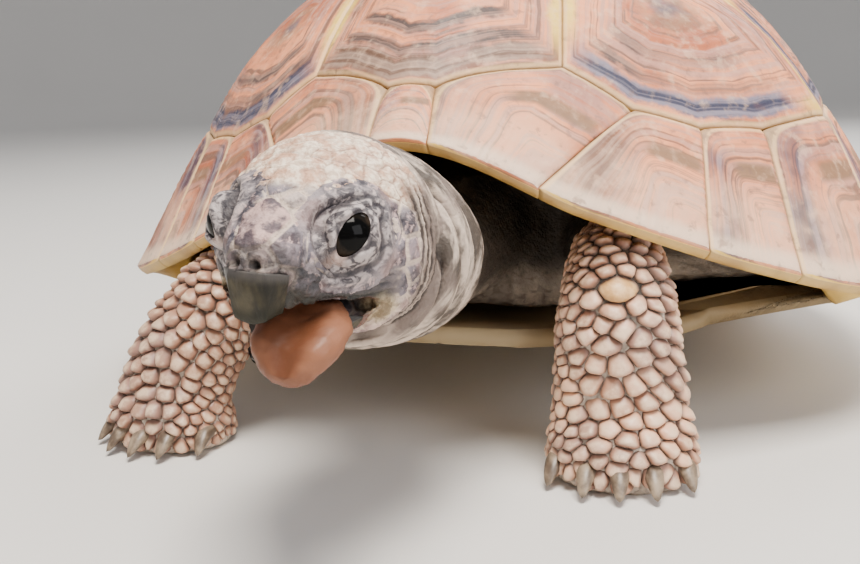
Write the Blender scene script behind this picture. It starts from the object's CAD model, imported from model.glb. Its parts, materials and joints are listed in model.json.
"""Looks of the standing Hermann's tortoise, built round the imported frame.

Lengths in the constants are millimetres in the same model frame as the solids: the animal looks along
-Y, its left is +X and its soles stand on z = 0; to_world() turns points into metres. Shell plates are
grids on the carapace's dome with growth rings as relief. The flesh is one remeshed skin with plates,
lids and folds moved into it, and separate domed scales lie on the legs.
"""

import json
import math

import bmesh
import bpy
import numpy as np
from mathutils import Matrix, Vector, noise
from mathutils.bvhtree import BVHTree

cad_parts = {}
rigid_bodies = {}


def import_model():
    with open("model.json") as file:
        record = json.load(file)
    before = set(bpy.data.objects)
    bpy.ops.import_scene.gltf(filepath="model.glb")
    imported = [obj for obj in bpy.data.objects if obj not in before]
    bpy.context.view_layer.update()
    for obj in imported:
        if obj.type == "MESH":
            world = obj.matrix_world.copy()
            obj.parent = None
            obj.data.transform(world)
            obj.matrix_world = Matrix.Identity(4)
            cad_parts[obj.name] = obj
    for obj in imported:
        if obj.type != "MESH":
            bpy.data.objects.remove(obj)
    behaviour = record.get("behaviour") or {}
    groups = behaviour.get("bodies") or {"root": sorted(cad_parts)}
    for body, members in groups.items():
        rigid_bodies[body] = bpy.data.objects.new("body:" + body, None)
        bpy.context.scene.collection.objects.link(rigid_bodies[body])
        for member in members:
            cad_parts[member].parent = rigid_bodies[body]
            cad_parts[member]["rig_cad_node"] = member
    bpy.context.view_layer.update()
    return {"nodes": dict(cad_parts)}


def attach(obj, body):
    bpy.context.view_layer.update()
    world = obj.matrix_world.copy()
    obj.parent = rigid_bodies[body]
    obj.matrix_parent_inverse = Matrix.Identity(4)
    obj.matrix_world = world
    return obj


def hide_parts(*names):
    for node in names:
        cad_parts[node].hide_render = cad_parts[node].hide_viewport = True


MM = 0.001
MIDDLE_Y = -2.25
SIDES = ((1, "left"), (-1, "right"))

# The carapace's dome, by angle from the front, and its seams as points of a unit disc
RIM_ANGLES = (0, 20, 40, 60, 90, 130, 155, 180)
RIM_RADII = (77.8, 75.9, 75.4, 79.0, 76.0, 80.0, 88.5, 95.0)
RIM_HEIGHTS = (50.8, 40.3, 30.9, 24.2, 25.0, 24.5, 25.5, 24.0)
DOME_TOP = 91.5
DOME_HOLLOW = (0.14, 0.03)
DOME_FLARE = (0.134, 0.02)
DOME_REAR = (75.0, 150.0)
APEX_Y = 10.0
WALL = 2.0                       # how deep a plate's edge and underside lie under the dome
RELIEF = 0.9
LIP = 10.0
LIP_DROP = 1.7
BRIDGE_ANGLES = (52.0, 64.0, 116.0, 128.0)
MARGINAL_TOPS = ((3.0, 0.885), (28.3, 0.80), (38.9, 0.80), (50.6, 0.775), (74.3, 0.747),
                 (87.0, 0.742), (99.0, 0.745), (111.0, 0.75), (123.0, 0.76), (136.0, 0.775),
                 (149.5, 0.785), (163.0, 0.79), (180.0, 0.80))
MARGINAL_RIMS = (3.2, 14.5, 33.7, 46.0, 63.0, 79.0, 94.5, 109.0, 122.0, 135.5, 149.5, 164.0, 180.0)
VERTEBRAL_EDGES = ((0.185, -0.43), (0.20, -0.10), (0.20, 0.235), (0.135, 0.50))
VERTEBRAL_WINGS = ((0.295, -0.255), (0.315, 0.07), (0.285, 0.38))
COSTAL_BEND = (0.603, -0.16)
SHOULDER_SHARE = 0.6
SCUTE_STEPS = (152, 58)          # points round a plate, and rows from its middle to its seams
RIM_STEPS = (42, 51, 21)         # points along a rim plate, the first pair of them, and the nuchal
RIM_ROWS = 40

# Growth rings
SEAM = 0.16                      # width of the gap between two plates
RINGS = 12
RING_DEPTH = 0.20
AREOLA = 0.24                    # share of a plate inside its first ring

# Plastron
FLOOR_CLEARANCE = 14.0
PLASTRON_THICK = 3.0
LOBE_ANGLES = (0, 13, 22, 36, 53, 90, 124, 137, 149, 165, 180)
LOBE_RADII = (61.0, 61.5, 58.0, 54.0, 51.0, 50.0, 47.0, 48.0, 53.0, 62.0, 58.0)
PLASTRON_SEAMS = (-52.0, -38.0, -20.0, -9.0, 33.0, 52.0, 72.0)
PLASTRON_COLUMNS = 121
PLASTRON_NAMES = ("gular", "humeral", "pectoral", "abdominal", "femoral", "anal")

# Head, in its own frame of (left, ahead, up) from the closed mouth's level
MOUTH_LEVEL = (-2.8, -91.8, 35.6)
HEAD_TURN = 0.5
HEAD_ROLL = 6.0
HEAD_BACK = -12.0
HEAD_STATIONS = (-12.0, -8.0, -3.0, 2.0, 6.5, 10.0, 13.0, 15.5, 17.3)
HEAD_HALF_WIDTHS = (12.6, 13.6, 13.5, 12.3, 10.2, 7.6, 5.6, 4.4, 3.0)
HEAD_TOPS = (16.4, 17.3, 17.5, 16.5, 14.4, 12.0, 10.0, 8.3, 6.2)
HEAD_BOTTOMS = (-7.6, -7.4, -7.0, -6.2, -5.4, -4.7, -4.0, -3.2, -2.0)
CHEEK_LEVELS = (3.4, 3.4, 3.0, 3.0, 3.2, 3.2, 3.0, 2.8, 2.2)
CROWN_ROUND = 1.12
CROWN_BACK_ROUND = 0.96
JAW_ROUND = 0.90
BROW_LEVEL = 7.4
MUZZLE_DRAW = 0.30
MUZZLE_LEAN = 0.20
NOSTRIL_LEVEL = 5.0
HINGE = 4.0
GAPE = 33.0
JAW_TIP = 14.6
JAW_DRAW = 0.16
JAW_SLIDE = 0.9
EYE_RADIUS = 3.2
EYE_PLACE = (6.8, 6.6, 7.4)
EYE_LOOKS = {1: (0.50, 0.84, 0.26), -1: (0.86, 0.46, 0.16)}    # the way each eye looks: left, right
SLIT_TILT = 33.0                 # the rear corner of the lids is higher than the front one
OPENING = (2.70, 1.50)           # half-length and half-height of the opening between the lids
LID_REACH = 4.7
LID_THICK = 0.42
LID_FOLDS = 2.3
LID_GRID = (120, 48)
EYE_GRID = (48, 34)
NOSTRIL = (1.15, 17.0, 5.4)
HEAD_ROWS = 60
HEAD_POINTS = 84                 # points round each section of the head
HORN_ROWS = 26
BEAK_BACK = 13.4
BEAK_HEIGHT = 4.6
HOOK_DROP = 1.2
BEAK_ANGLES = (54, 87)           # reach to each side in degrees, and columns
JAW_HORN_ANGLES = (96, 81)
TONGUE_SHIFT = 3.4
TONGUE_GRID = (64, 54)
TONGUE_STATIONS = ((4.6, 0.1, 2.2, 0.9), (5.5, 0.2, 3.1, 1.2), (8.0, 0.8, 4.8, 1.9),
                   (11.0, 1.4, 5.3, 2.4), (13.6, 1.4, 4.8, 2.5), (15.6, 0.7, 3.3, 1.9),
                   (16.6, 0.4, 1.8, 1.0))

# Named plates of the head: (out, ahead, up, weight), on both sides or on the middle line
PLATE_SHIFT = -0.8               # the plates' pattern sits a little to the right of the middle
NAMED_PLATES = ((3.3, 13.9, 7.6, 2.1), (1.8, 16.6, 6.5, 0.8), (4.7, 10.5, 9.9, 0.9),
                (6.2, 9.4, 9.9, 0.8), (5.8, 11.6, 7.0, 0.9), (5.6, 11.4, 2.4, 1.6),
                (7.6, 9.0, 5.4, 0.8), (11.0, 2.2, 5.2, 1.3), (12.1, 0.0, 8.8, 1.1),
                (12.9, -3.2, 5.0, 1.6), (9.6, 3.4, 12.2, 1.0))
MIDDLE_PLATES = ((0.0, 13.9, 9.4, 3.5), (0.0, 17.4, 4.9, 0.9), (0.4, 8.2, 13.4, 2.0),
                 (0.0, 2.4, 16.4, 1.4))
FOLD_LINES = (-92.0, -88.0, -84.0, -80.0, -76.0, -71.5, -66.5, -61.0, -55.0, -48.0, -40.0)
PLATE_TRIES = 9000               # skin points that may start a small plate
PLATE_SPACING = (1.0, 1.75)      # between small plates, near the eye and elsewhere
CORNER = (9.4, 2.6, -1.6)        # the stretched tissue at a mouth corner

# Neck, tail and legs, as in the solids: (centre, half_width, half_depth, side)
ACROSS = (1.0, 0.0, 0.0)
NECK_STATIONS = (((-2.2, -83.2, 39.2), 13.6, 13.3, ACROSS), ((-1.7, -79.5, 38.0), 15.0, 13.6, ACROSS),
                 ((-1.2, -73.0, 35.8), 14.8, 12.6, ACROSS), ((-1.8, -65.0, 34.2), 12.2, 11.4, ACROSS),
                 ((-1.6, -52.0, 33.2), 11.8, 11.2, ACROSS), ((0.0, -24.0, 33.0), 13.6, 11.6, ACROSS))
TAIL_STATIONS = (((0.0, 60.0, 27.0), 5.8, 5.0, ACROSS), ((0.6, 77.0, 23.0), 5.2, 4.6, ACROSS),
                 ((1.8, 86.0, 17.5), 3.8, 3.5, ACROSS), ((3.0, 92.0, 12.0), 2.3, 2.3, ACROSS))
TAIL_TIP = (3.6, 94.2, 9.0)
LEGS = {
    "foreleg_left": ([((23, -24, 30), 8.0, 7.6), ((27, -44, 30), 7.0, 7.2),
                      ((28, -51.5, 27.6), 7.9, 7.6), ((28.4, -54, 22), 9.0, 7.2),
                      ((28.8, -55, 16), 9.6, 6.8), ((29, -55.5, 10.5), 9.8, 7.0)],
                     ((29.5, -57.0), 6.0, 10.4, 8.4), 5),
    "foreleg_right": ([((-24, -24, 28.5), 8.0, 7.6), ((-31, -42, 27.5), 8.4, 7.6),
                       ((-35.5, -49, 24.6), 8.8, 7.8), ((-39.5, -52.5, 19.5), 9.4, 7.2),
                       ((-42.5, -54.5, 14.5), 9.8, 7.0), ((-44.2, -55.5, 10), 9.8, 7.2)],
                      ((-45.2, -57.0), -8.0, 10.4, 8.4), 5),
    "hindleg_left": ([((26, 40, 31), 9.4, 9.0), ((36, 49, 28.4), 9.6, 9.2),
                      ((41.5, 55, 22), 9.6, 9.2), ((43.5, 58.5, 15), 9.6, 9.4),
                      ((44.4, 60, 9.8), 9.6, 9.6)],
                     ((45, 60.5), 16.0, 9.8, 10.0), 4),
    "hindleg_right": ([((-26, 43, 32), 9.2, 8.8), ((-37, 51, 29.8), 9.4, 8.8),
                       ((-44, 55.5, 23), 9.4, 9.0), ((-46.5, 57.5, 15), 9.6, 9.4),
                       ((-47.2, 58.5, 9.8), 9.6, 9.6)],
                      ((-47.8, 59), -16.0, 9.8, 10.0), 4),
}
NAPE_ROUND = 1.14
NECK_GRID = (72, 60)             # in each grid: points round, and steps along
TAIL_GRID = (28, 30)
LEG_GRID = (40, 44)
SOLE = ((6.5, 1.0), (4.4, 1.03), (2.2, 1.04), (0.9, 1.0), (0.0, 0.93))    # (height, share of width)
CLAW_LENGTH = 6.0
CLAW_RADIUS = 1.55
CLAW_DROP = 2.2

# Skin
TRUNK_CUT = 44.0
VOXEL = 0.80
STRETCH_Y = (-112.0, -88.0, -80.0, -70.0, -62.0, -50.0, -38.0, -20.0, 30.0, 45.0, 60.0, 112.0)
STRETCH = (2.6, 2.6, 2.1, 1.5, 1.15, 1.0, 0.9, 0.4, 0.4, 0.85, 1.0, 1.0)
STRETCH_AXIS = (-2.0, 34.0)
COAT_DEPTH = 0.35                # the skin lies this far inside the solids
PLATE_CRACKS = (0.34, 0.13)      # depth between the plates of the face and of the crown
LIP_PITCH = 1.05
COLLAR_PITCH = 1.5
FOLD_DEPTH = 1.5

# Scales of the limbs
SCALE_GAP = 0.04
SCALE_SQUAT = 1.35               # a scale's width for its length
SCALE_POINTS = 16
SCALE_LEVELS = (-0.60, 0.0, 0.36, 0.66, 0.87, 0.97)
SCALE_SPREADS = (1.0, 1.03, 0.97, 0.82, 0.58, 0.30)
SHOWY_SCALE = (29.5, -58.5, 29.2)
SHOWY_SIZE = 4.9
LEG_SCALE_SIZES = (2.1, 3.1)     # behind a leg, and on its front
LEG_SCALE_HEIGHTS = (0.45, 0.80)
LEG_SCALE_LIFTS = (0.15, 0.70)
TAIL_SCALE_SIZES = (2.3, 1.7)    # from the tail's root to its tip
DARK_LEG = ("foreleg_right", 0.30)

# Camera, as fitted to the animal's pose
CAMERA_AT = (44.0, -196.1, 58.6)
CAMERA_TURN = (17.2, 11.7, -1.95)    # to its left, down, and roll, in degrees
CAMERA_LENS = 41.07
SENSOR_WIDTH = 36.0

# Studio, in metres and watts
FLOOR_SEGMENTS = 96
SKY_COLOUR = (0.92, 0.94, 1.0)
SKY_STRENGTH = 0.40
LAMPS = (("key", (0.10, -0.20, 0.66), (0.0, -0.05, 0.05), 0.28, 8.8, (1.0, 0.93, 0.84)),
         ("fill", (0.60, -0.45, 0.42), (0.0, -0.04, 0.05), 0.50, 3.4, (0.97, 0.97, 1.0)),
         ("rim", (0.15, 0.62, 0.55), (0.0, 0.0, 0.05), 0.45, 4.0, (1.0, 1.0, 1.0)))


# ---------------------------------------------------------------- small tools

def to_world(points):
    """Model millimetres, as an array, to metres centred on the whole length."""
    return (np.asarray(points, float) - (0.0, MIDDLE_Y, 0.0)) * MM


def curve(at, places, values, level_ends=False):
    """Cubic curve through (place, value) pairs, read at an array of places."""
    places = np.asarray(places, float)
    values = np.asarray(values, float)
    slopes = np.gradient(values, places)
    if level_ends:
        slopes[[0, -1]] = 0.0
    at = np.clip(np.asarray(at, float), places[0], places[-1])
    i = np.clip(np.searchsorted(places, at) - 1, 0, len(places) - 2)
    span = places[i + 1] - places[i]
    t = (at - places[i]) / span
    return (values[i] * (1 + 2 * t) * (1 - t) ** 2 + values[i + 1] * t * t * (3 - 2 * t)
            + span * t * (1 - t) * (slopes[i] * (1 - t) - slopes[i + 1] * t))


def blend(low, high, t):
    return low + (high - low) * t


def ease(value, start, end):
    """0 before start, 1 after end, smooth between."""
    t = np.clip((value - start) / (end - start), 0.0, 1.0)
    return t * t * (3 - 2 * t)


def between(value, start, full, fade, end):
    """1 from full to fade, 0 before start and after end, smooth between."""
    return ease(value, start, full) * (1 - ease(value, fade, end))


def wave(turns):
    """1 at whole turns and 0 half-way between them."""
    return 0.5 + 0.5 * np.cos(2 * math.pi * turns)


def mound(distance, width):
    """1 at no distance, falling off over a width."""
    return np.exp(-(distance / width) ** 2)


def unit(vectors):
    """Vectors, along an array's last axis, at length 1."""
    return vectors / np.linalg.norm(vectors, axis=-1, keepdims=True)


def full_turn(count):
    return np.linspace(0, 2 * math.pi, count, endpoint=False)


def wander(points, size, seed=0.0, octaves=1):
    """Smooth noise from about -1 to 1 at an array of points, with features of the given size."""
    flat = np.asarray(points, float).reshape(-1, 3) / size + seed * 17.3
    total = np.zeros(len(flat))
    weight = 1.0
    for octave in range(octaves):
        scaled = flat * 2.0 ** octave
        total += weight * np.array([noise.noise(Vector(point)) for point in scaled])
        weight *= 0.5
    return (1.6 * total).reshape(np.asarray(points).shape[:-1])


def read_array(items, key, width, kind=np.float32):
    """One property of a mesh's points, edges or triangles, as rows."""
    flat = np.empty(len(items) * width, kind)
    items.foreach_get(key, flat)
    return flat.reshape(-1, width)


def signed_volume(mesh):
    """Volume that is positive where the faces point out."""
    mesh.calc_loop_triangles()
    corners = read_array(mesh.loop_triangles, "vertices", 3, np.int32)
    a, b, c = np.moveaxis(read_array(mesh.vertices, "co", 3)[corners], 1, 0)
    return float((a * np.cross(b, c)).sum()) / 6


def place_object(name, data):
    made = bpy.data.objects.new(name, data)
    bpy.context.scene.collection.objects.link(made)
    return made


def new_piece(name, points, faces, slot, replaced=(), loop_uv=None, marks=None):
    """A mesh piece from model points, with its material slot, its bake map and point attributes."""
    mesh = bpy.data.meshes.new(name)
    mesh.from_pydata(to_world(points).tolist(), [], faces)
    if loop_uv is not None:
        layer = mesh.uv_layers.new(name="OFBake")
        layer.data.foreach_set("uv", np.asarray(loop_uv, np.float32).ravel())
    for mark, values in (marks or {}).items():
        attribute = mesh.attributes.new(mark, "FLOAT", "POINT")
        attribute.data.foreach_set("value", np.asarray(values, np.float32).ravel())
    if signed_volume(mesh) < 0:
        mesh.flip_normals()
    mesh.shade_smooth()
    piece = place_object(name, mesh)
    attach(piece, "root")
    if replaced:
        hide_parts(*replaced)
    return piece


def loft(rings, first_hub=None, last_hub=None):
    """Closed body over an array of rings, with fans to two hubs; gives points, faces and loop UVs.

    A hub that isn't given is the middle of its ring.
    """
    rows, count = rings.shape[:2]
    hubs = [rings[0].mean(0) if first_hub is None else first_hub,
            rings[-1].mean(0) if last_hub is None else last_hub]
    faces = []
    uv = []
    for row in range(rows - 1):
        low, high = (row + 1) / (rows + 1), (row + 2) / (rows + 1)
        for i in range(count):
            j = (i + 1) % count
            faces.append((row * count + i, row * count + j, (row + 1) * count + j,
                          (row + 1) * count + i))
            left, right = i / count, (i + 1) / count
            uv += [(left, low), (right, low), (right, high), (left, high)]
    last = (rows - 1) * count
    for i in range(count):
        j = (i + 1) % count
        left, right = i / count, (i + 1) / count
        mid = 0.5 * (left + right)
        faces.append((j, i, rows * count))
        uv += [(right, 1 / (rows + 1)), (left, 1 / (rows + 1)), (mid, 0.0)]
        faces.append((last + i, last + j, rows * count + 1))
        uv += [(left, rows / (rows + 1)), (right, rows / (rows + 1)), (mid, 1.0)]
    return np.vstack([rings.reshape(-1, 3), hubs]), faces, uv


def loft_marks(axis, grids, **same):
    """Point attributes of a loft.

    grids gives for a name two grids that follow each other along an axis and the values at the two
    hubs; the attributes in same have one value all over.
    """
    marks = {name: np.append(np.concatenate([grid, after], axis).ravel(), hubs)
             for name, (grid, after, hubs) in grids.items()}
    count = len(next(iter(marks.values())))
    marks.update({name: np.full(count, value) for name, value in same.items()})
    return marks


def joined(bodies):
    """Several (points, faces) as one."""
    points, faces, start = [], [], 0
    for body_points, body_faces in bodies:
        points.append(body_points)
        faces += [tuple(start + i for i in face) for face in body_faces]
        start += len(body_points)
    return np.vstack(points), faces


# ---------------------------------------------------------------- the dome and its seams

def rim(angle):
    """Rim points and inward level directions at an array of angles; negative angles are right."""
    angle = np.asarray(angle, float)
    radius = curve(np.abs(angle), RIM_ANGLES, RIM_RADII, True)
    height = curve(np.abs(angle), RIM_ANGLES, RIM_HEIGHTS, True)
    turn = np.radians(angle)
    inward = np.stack([-np.sin(turn), np.cos(turn), 0 * turn], -1)
    axis = np.stack([0 * turn, APEX_Y + 0 * turn, height], -1)
    return axis - inward * radius[..., None], inward


def dome(spots):
    """Points of the carapace's outer curve over an array of disc points."""
    spots = np.asarray(spots, float)
    u, v = spots[..., 0], spots[..., 1]
    angle = np.degrees(np.arctan2(u, -v))
    edge = rim(angle)[0]
    rho = np.minimum(np.hypot(u, v), 1.0)
    climb = rho * math.pi / 2
    rear = ease(np.abs(angle), *DOME_REAR)
    hollow = np.sin(climb) * (1 - blend(*DOME_HOLLOW, rear) * np.cos(climb) ** 2)
    reach = blend(hollow, rho ** 7, blend(*DOME_FLARE, rear))
    axis = np.stack([0 * u, APEX_Y + 0 * u, edge[..., 2]], -1)
    points = axis + (edge - axis) * reach[..., None]
    points[..., 2] += (DOME_TOP - edge[..., 2]) * np.cos(climb)
    return points


def dome_normal(spots):
    """Outward normals of the dome at an array of disc points."""
    step = 0.01
    spots = np.asarray(spots, float)
    rho = np.hypot(spots[..., 0], spots[..., 1])[..., None]
    spots = np.where(rho > 1 - step, spots * (1 - step) / np.maximum(rho, step), spots)
    across = dome(spots + (step, 0)) - dome(spots - (step, 0))
    along = dome(spots + (0, step)) - dome(spots - (0, step))
    return unit(np.cross(across, along))


def disc(angle, rho):
    """Point of the unit disc at an angle from the front and a distance from the middle."""
    turn = np.radians(angle)
    return np.stack([rho * np.sin(turn), -rho * np.cos(turn)], -1)


SHOULDER = disc(19.0, 0.755)
FIRST_BEND = disc(21.0, 0.605)


def top_seam(i):
    """Disc point where the seam between two rim plates ends at the upper plates."""
    return disc(*MARGINAL_TOPS[i])


def vertebral_outlines():
    """Corner points of the five vertebral plates on the disc, from front to rear."""
    edges = [np.array(edge) for edge in VERTEBRAL_EDGES]
    left = [[top_seam(0), SHOULDER, FIRST_BEND, edges[0]]]
    for i, wing in enumerate(VERTEBRAL_WINGS):
        left.append([edges[i], np.array(wing), edges[i + 1]])
    left.append([edges[3], top_seam(11)])
    outlines = []
    for half in left:
        other = [corner * (-1, 1) for corner in half[::-1]]
        outlines.append(np.array(half + other))
    outlines[-1] = np.insert(outlines[-1], 2, top_seam(12), axis=0)
    return outlines


def costal_outlines():
    """Corner points of the four left costal plates on the disc, from front to rear."""
    edges = [np.array(edge) for edge in VERTEBRAL_EDGES]
    wings = [np.array(wing) for wing in VERTEBRAL_WINGS]
    bend = np.array(COSTAL_BEND)
    first = [SHOULDER, top_seam(1), top_seam(2), top_seam(3), top_seam(4), bend, wings[0],
             edges[0], FIRST_BEND]
    second = [wings[0], bend, top_seam(4), top_seam(5), top_seam(6), wings[1], edges[1]]
    third = [wings[1], top_seam(6), top_seam(7), top_seam(8), wings[2], edges[2]]
    fourth = [wings[2], top_seam(8), top_seam(9), top_seam(10), top_seam(11), edges[3]]
    return [np.array(outline) for outline in (first, second, third, fourth)]


def bridge_share(angle):
    """1 along the bridge that joins carapace and plastron, 0 at the open front and rear."""
    return between(np.abs(angle), *BRIDGE_ANGLES)


def lip_edge(angle):
    """Inner edge of the rim's underside."""
    edge, inward = rim(angle)
    inner = edge + inward * LIP
    inner[..., 2] += blend(2.5, -5.0, bridge_share(angle))
    return inner


# ---------------------------------------------------------------- shell plates

def walk(corners, count):
    """Points along a closed outline on the disc, even along the dome, that keep its corners."""
    lengths = np.linalg.norm(dome(np.roll(corners, -1, 0)) - dome(corners), axis=-1)
    shares = np.maximum(1, np.round(lengths / lengths.sum() * count)).astype(int)
    spots = []
    for i, steps in enumerate(shares):
        after = corners[(i + 1) % len(corners)]
        spots += [corners[i] + (after - corners[i]) * k / steps for k in range(steps)]
    return np.array(spots)


def ring_relief(t, points, seed):
    """Depth of the growth rings at shares t from a plate's first shield (0) to its seams (1)."""
    grown = np.clip((t - AREOLA) / (1 - AREOLA), 0, 1)
    phase = RINGS * grown ** 1.15 + 0.30 * wander(points, 9.0, seed) + 0.10 * wander(points, 2.5, seed)
    strength = 0.65 + 0.35 * np.sin(phase * 0.9 + seed * 2.1) + 0.3 * wander(points, 14.0, seed + 5)
    fade = ease(grown, 0.0, 0.04) * (1 - 0.5 * ease(grown, 0.93, 1.0))
    return -RING_DEPTH * wave(phase) ** 2 * np.clip(strength, 0.15, 1.3) * fade, phase


def scute(name, corners, areola, seed):
    """A shell plate inside its seams: a grid of nested outlines about its first shield."""
    count, radial = SCUTE_STEPS
    loop = walk(corners, count)
    middle = dome(areola)
    reach = np.linalg.norm(dome(loop) - middle, axis=-1, keepdims=True)
    loop = areola + (loop - areola) * (1 - 0.5 * SEAM / reach)
    t = np.linspace(0.02, 1.0, radial)[:, None]
    spots = areola + (loop[None] - areola) * t[..., None]
    points = dome(spots)
    normals = dome_normal(spots)
    t = np.broadcast_to(t, points.shape[:2])
    rise = RELIEF * (1 - t ** 2)
    depth, phase = ring_relief(t, points, seed)
    rise = rise + depth + 0.05 * wander(points, 3.0, seed, 2)
    rise = rise + 0.06 * wander(points, 1.1, seed + 3) * (1 - ease(t, AREOLA - 0.05, AREOLA + 0.03))
    rise = rise - 0.38 * ease(t, 1 - 1.1 / reach.mean(), 1.0)
    surface = points + normals * rise[..., None]
    edge = surface[-1]
    wall = points[-1] - normals[-1] * WALL
    under_spots = areola + (loop - areola) * 0.5
    under = dome(under_spots) - dome_normal(under_spots) * WALL
    rings = np.concatenate([surface, [blend(edge, wall, 0.3)], [wall], [under]])
    up = dome_normal(areola)
    body, faces, uv = loft(rings, middle + up * RELIEF, middle - up * WALL)
    from_areola = spots - areola
    low = from_areola @ areola / (np.linalg.norm(from_areola, axis=-1) * (math.hypot(*areola) + 0.05))
    skirt = np.ones((3, len(loop)))
    grids = {"low": (low, low[-1] * skirt, (0, 0)), "ring": (t, skirt, (0, 1)),
             "phase": (phase, RINGS * skirt, (0, RINGS)), "under": (0 * t, skirt, (0, 1))}
    marks = loft_marks(0, grids, front=0.0, top=0.0, tint=math.sin(seed * 5.7))
    return new_piece(name, body, faces, "carapace_horn", [name], uv, marks)


def upper_seam(first, last, share):
    """Disc points along the upper seam of the rim plate between two seams, at an array of shares."""
    start, end = top_seam(first), top_seam(last)
    share = np.asarray(share, float)[..., None]
    if first > 0:
        return blend(start, end, share)
    before = blend(start, SHOULDER, share / SHOULDER_SHARE)
    after = blend(SHOULDER, end, (share - SHOULDER_SHARE) / (1 - SHOULDER_SHARE))
    return np.where(share < SHOULDER_SHARE, before, after)


def rim_plate(name, tops, low_angles, seed, shares, growth):
    """A plate of the rim: outer face, rounded edge and underside, swept along the rim.

    tops are disc points of its upper seam and low_angles its angles at the rim, both along shares,
    and growth turns (share along, share down) into the distance from its first shield.
    """
    face_rows = np.linspace(0, 1, RIM_ROWS)
    spots = np.stack([blend(tops, disc(low_angles, 1.0), t) for t in face_rows], 1)
    points = dome(spots)
    normals = dome_normal(spots)
    along = np.broadcast_to(shares[:, None], points.shape[:2])
    down = np.broadcast_to(face_rows[None], points.shape[:2])
    t = growth(along, down)
    depth, phase = ring_relief(t, points, seed)
    side = np.minimum(along, 1 - along)
    length = np.linalg.norm(points[-1, -1] - points[0, -1])
    round_off = 0.34 * (1 - ease(side * length, 0.0, 0.9)) + 0.34 * (1 - ease(down * 22, 0.0, 0.9))
    rise = 0.5 * RELIEF * np.sin(math.pi * down) + 0.8 * depth - round_off
    rise = rise + 0.05 * wander(points, 3.0, seed, 2)
    outer = points + normals * rise[..., None]
    edge, inward = rim(low_angles)
    lip = lip_edge(low_angles)
    rounds = []
    for turn in np.radians((35, 70, 105)):
        round_point = edge + inward * 0.75 * LIP_DROP * (1 - math.cos(turn))
        round_point[..., 2] -= 0.5 * LIP_DROP * (math.sin(turn) + 1 - math.cos(turn))
        rounds.append(round_point)
    start = edge + inward * 2.6
    start[..., 2] -= LIP_DROP
    under = [blend(start, lip, s) for s in np.linspace(0, 1, 9)]
    wall = lip + 0.0
    wall[..., 2] += blend(0.8, PLASTRON_THICK + 0.6, bridge_share(low_angles))
    back = points[:, 0] - normals[:, 0] * WALL
    extra = np.stack(rounds + under + [wall, back], 1)
    body, faces, uv = loft(np.concatenate([outer, extra], 1))
    blank = np.ones(extra.shape[:2])
    lower = blank * np.r_[0.3, 0.6, 0.85, np.ones(extra.shape[1] - 3)]
    grids = {"ring": (t, blank, (1, 1)), "phase": (phase, 5 * blank, (0, 0)),
             "under": (0 * t, lower, (0.5, 0.5)), "top": (1 - down, 0 * blank, (0, 0)),
             "front": (1 - along, blank * (1 - shares[:, None]), (0, 1))}
    marks = loft_marks(1, grids, low=0.0, tint=math.sin(seed * 5.7))
    return new_piece(name, body, faces, "carapace_horn", [name], uv, marks)


def corner_growth(along, down):
    """Rings of a rim plate start from its lower rear corner."""
    return np.clip(((1 - along) ** 12 + (1 - down) ** 12) ** (1 / 12), 0, 1)


def carapace():
    seed = 1.0
    for i, corners in enumerate(vertebral_outlines()):
        scute(f"vertebral_{i + 1}", corners, corners.mean(0) + (0.0, 0.035), seed)
        seed += 1.0
    for side, label in SIDES:
        for i, corners in enumerate(costal_outlines()):
            centre = corners.mean(0) * (0.90, 1.0) + (0.0, 0.03)
            if side < 0:
                corners = corners[::-1] * (-1, 1)
            scute(f"costal_{label}_{i + 1}", corners, centre * (side, 1), seed)
            seed += 1.0
    for side, label in SIDES:
        for i in range(12):
            rim_pair(side, label, i, seed)
            seed += 1.0
    nuchal(seed)


def rim_pair(side, label, i, seed):
    name = f"marginal_{label}_{i + 1}" if i < 11 else f"supracaudal_{label}"
    shares = np.linspace(0, 1, RIM_STEPS[i == 0])
    gap = math.degrees(0.5 * SEAM / RIM_RADII[0]) * (1 - 2 * shares)
    tops = upper_seam(i, i + 1, shares)
    top_angles = np.degrees(np.arctan2(tops[:, 0], -tops[:, 1])) + gap
    tops = disc(top_angles, np.hypot(tops[:, 0], tops[:, 1]) + 0.5 * SEAM / 70)
    low_angles = blend(MARGINAL_RIMS[i], MARGINAL_RIMS[i + 1], shares) + gap
    if side < 0:
        tops = tops * (-1, 1)
        low_angles = -low_angles
    rim_plate(name, tops, low_angles, seed, shares, corner_growth)


def nuchal(seed):
    shares = np.linspace(0, 1, RIM_STEPS[2])
    angle, rho = MARGINAL_TOPS[0]
    spread = math.degrees(0.5 * SEAM / RIM_RADII[0])
    tops = disc(blend(-1, 1, shares) * (angle - spread), np.full(len(shares), rho))
    lows = blend(-1, 1, shares) * (MARGINAL_RIMS[0] - spread)
    rim_plate("nuchal", tops, lows, seed, shares,
              lambda along, down: np.clip(1 - 0.9 * down + 0.3 * np.abs(2 * along - 1) ** 3, 0, 1))


# ---------------------------------------------------------------- the head's shape

def head_frame():
    """Carries head coordinates (left, back, up) to the model."""
    turn = Matrix.Rotation(math.radians(HEAD_TURN), 4, "Z")
    roll = Matrix.Rotation(math.radians(HEAD_ROLL), 4, "Y")
    return Matrix.Translation(MOUTH_LEVEL) @ turn @ roll


def move(matrix, points):
    """An array of points carried by a 4 by 4 matrix."""
    matrix = np.array(matrix)
    return np.asarray(points, float) @ matrix[:3, :3].T + matrix[:3, 3]


def from_head(side, ahead, up):
    """Model points of head coordinates: out to the left, ahead, and above the closed mouth."""
    side, ahead, up = np.broadcast_arrays(side, ahead, up)
    return move(head_frame(), np.stack([side, -ahead, up], -1))


def into_head(points):
    """Head coordinates (left, ahead, up) of model points."""
    return move(head_frame().inverted(), points) * (1, -1, 1)


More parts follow.
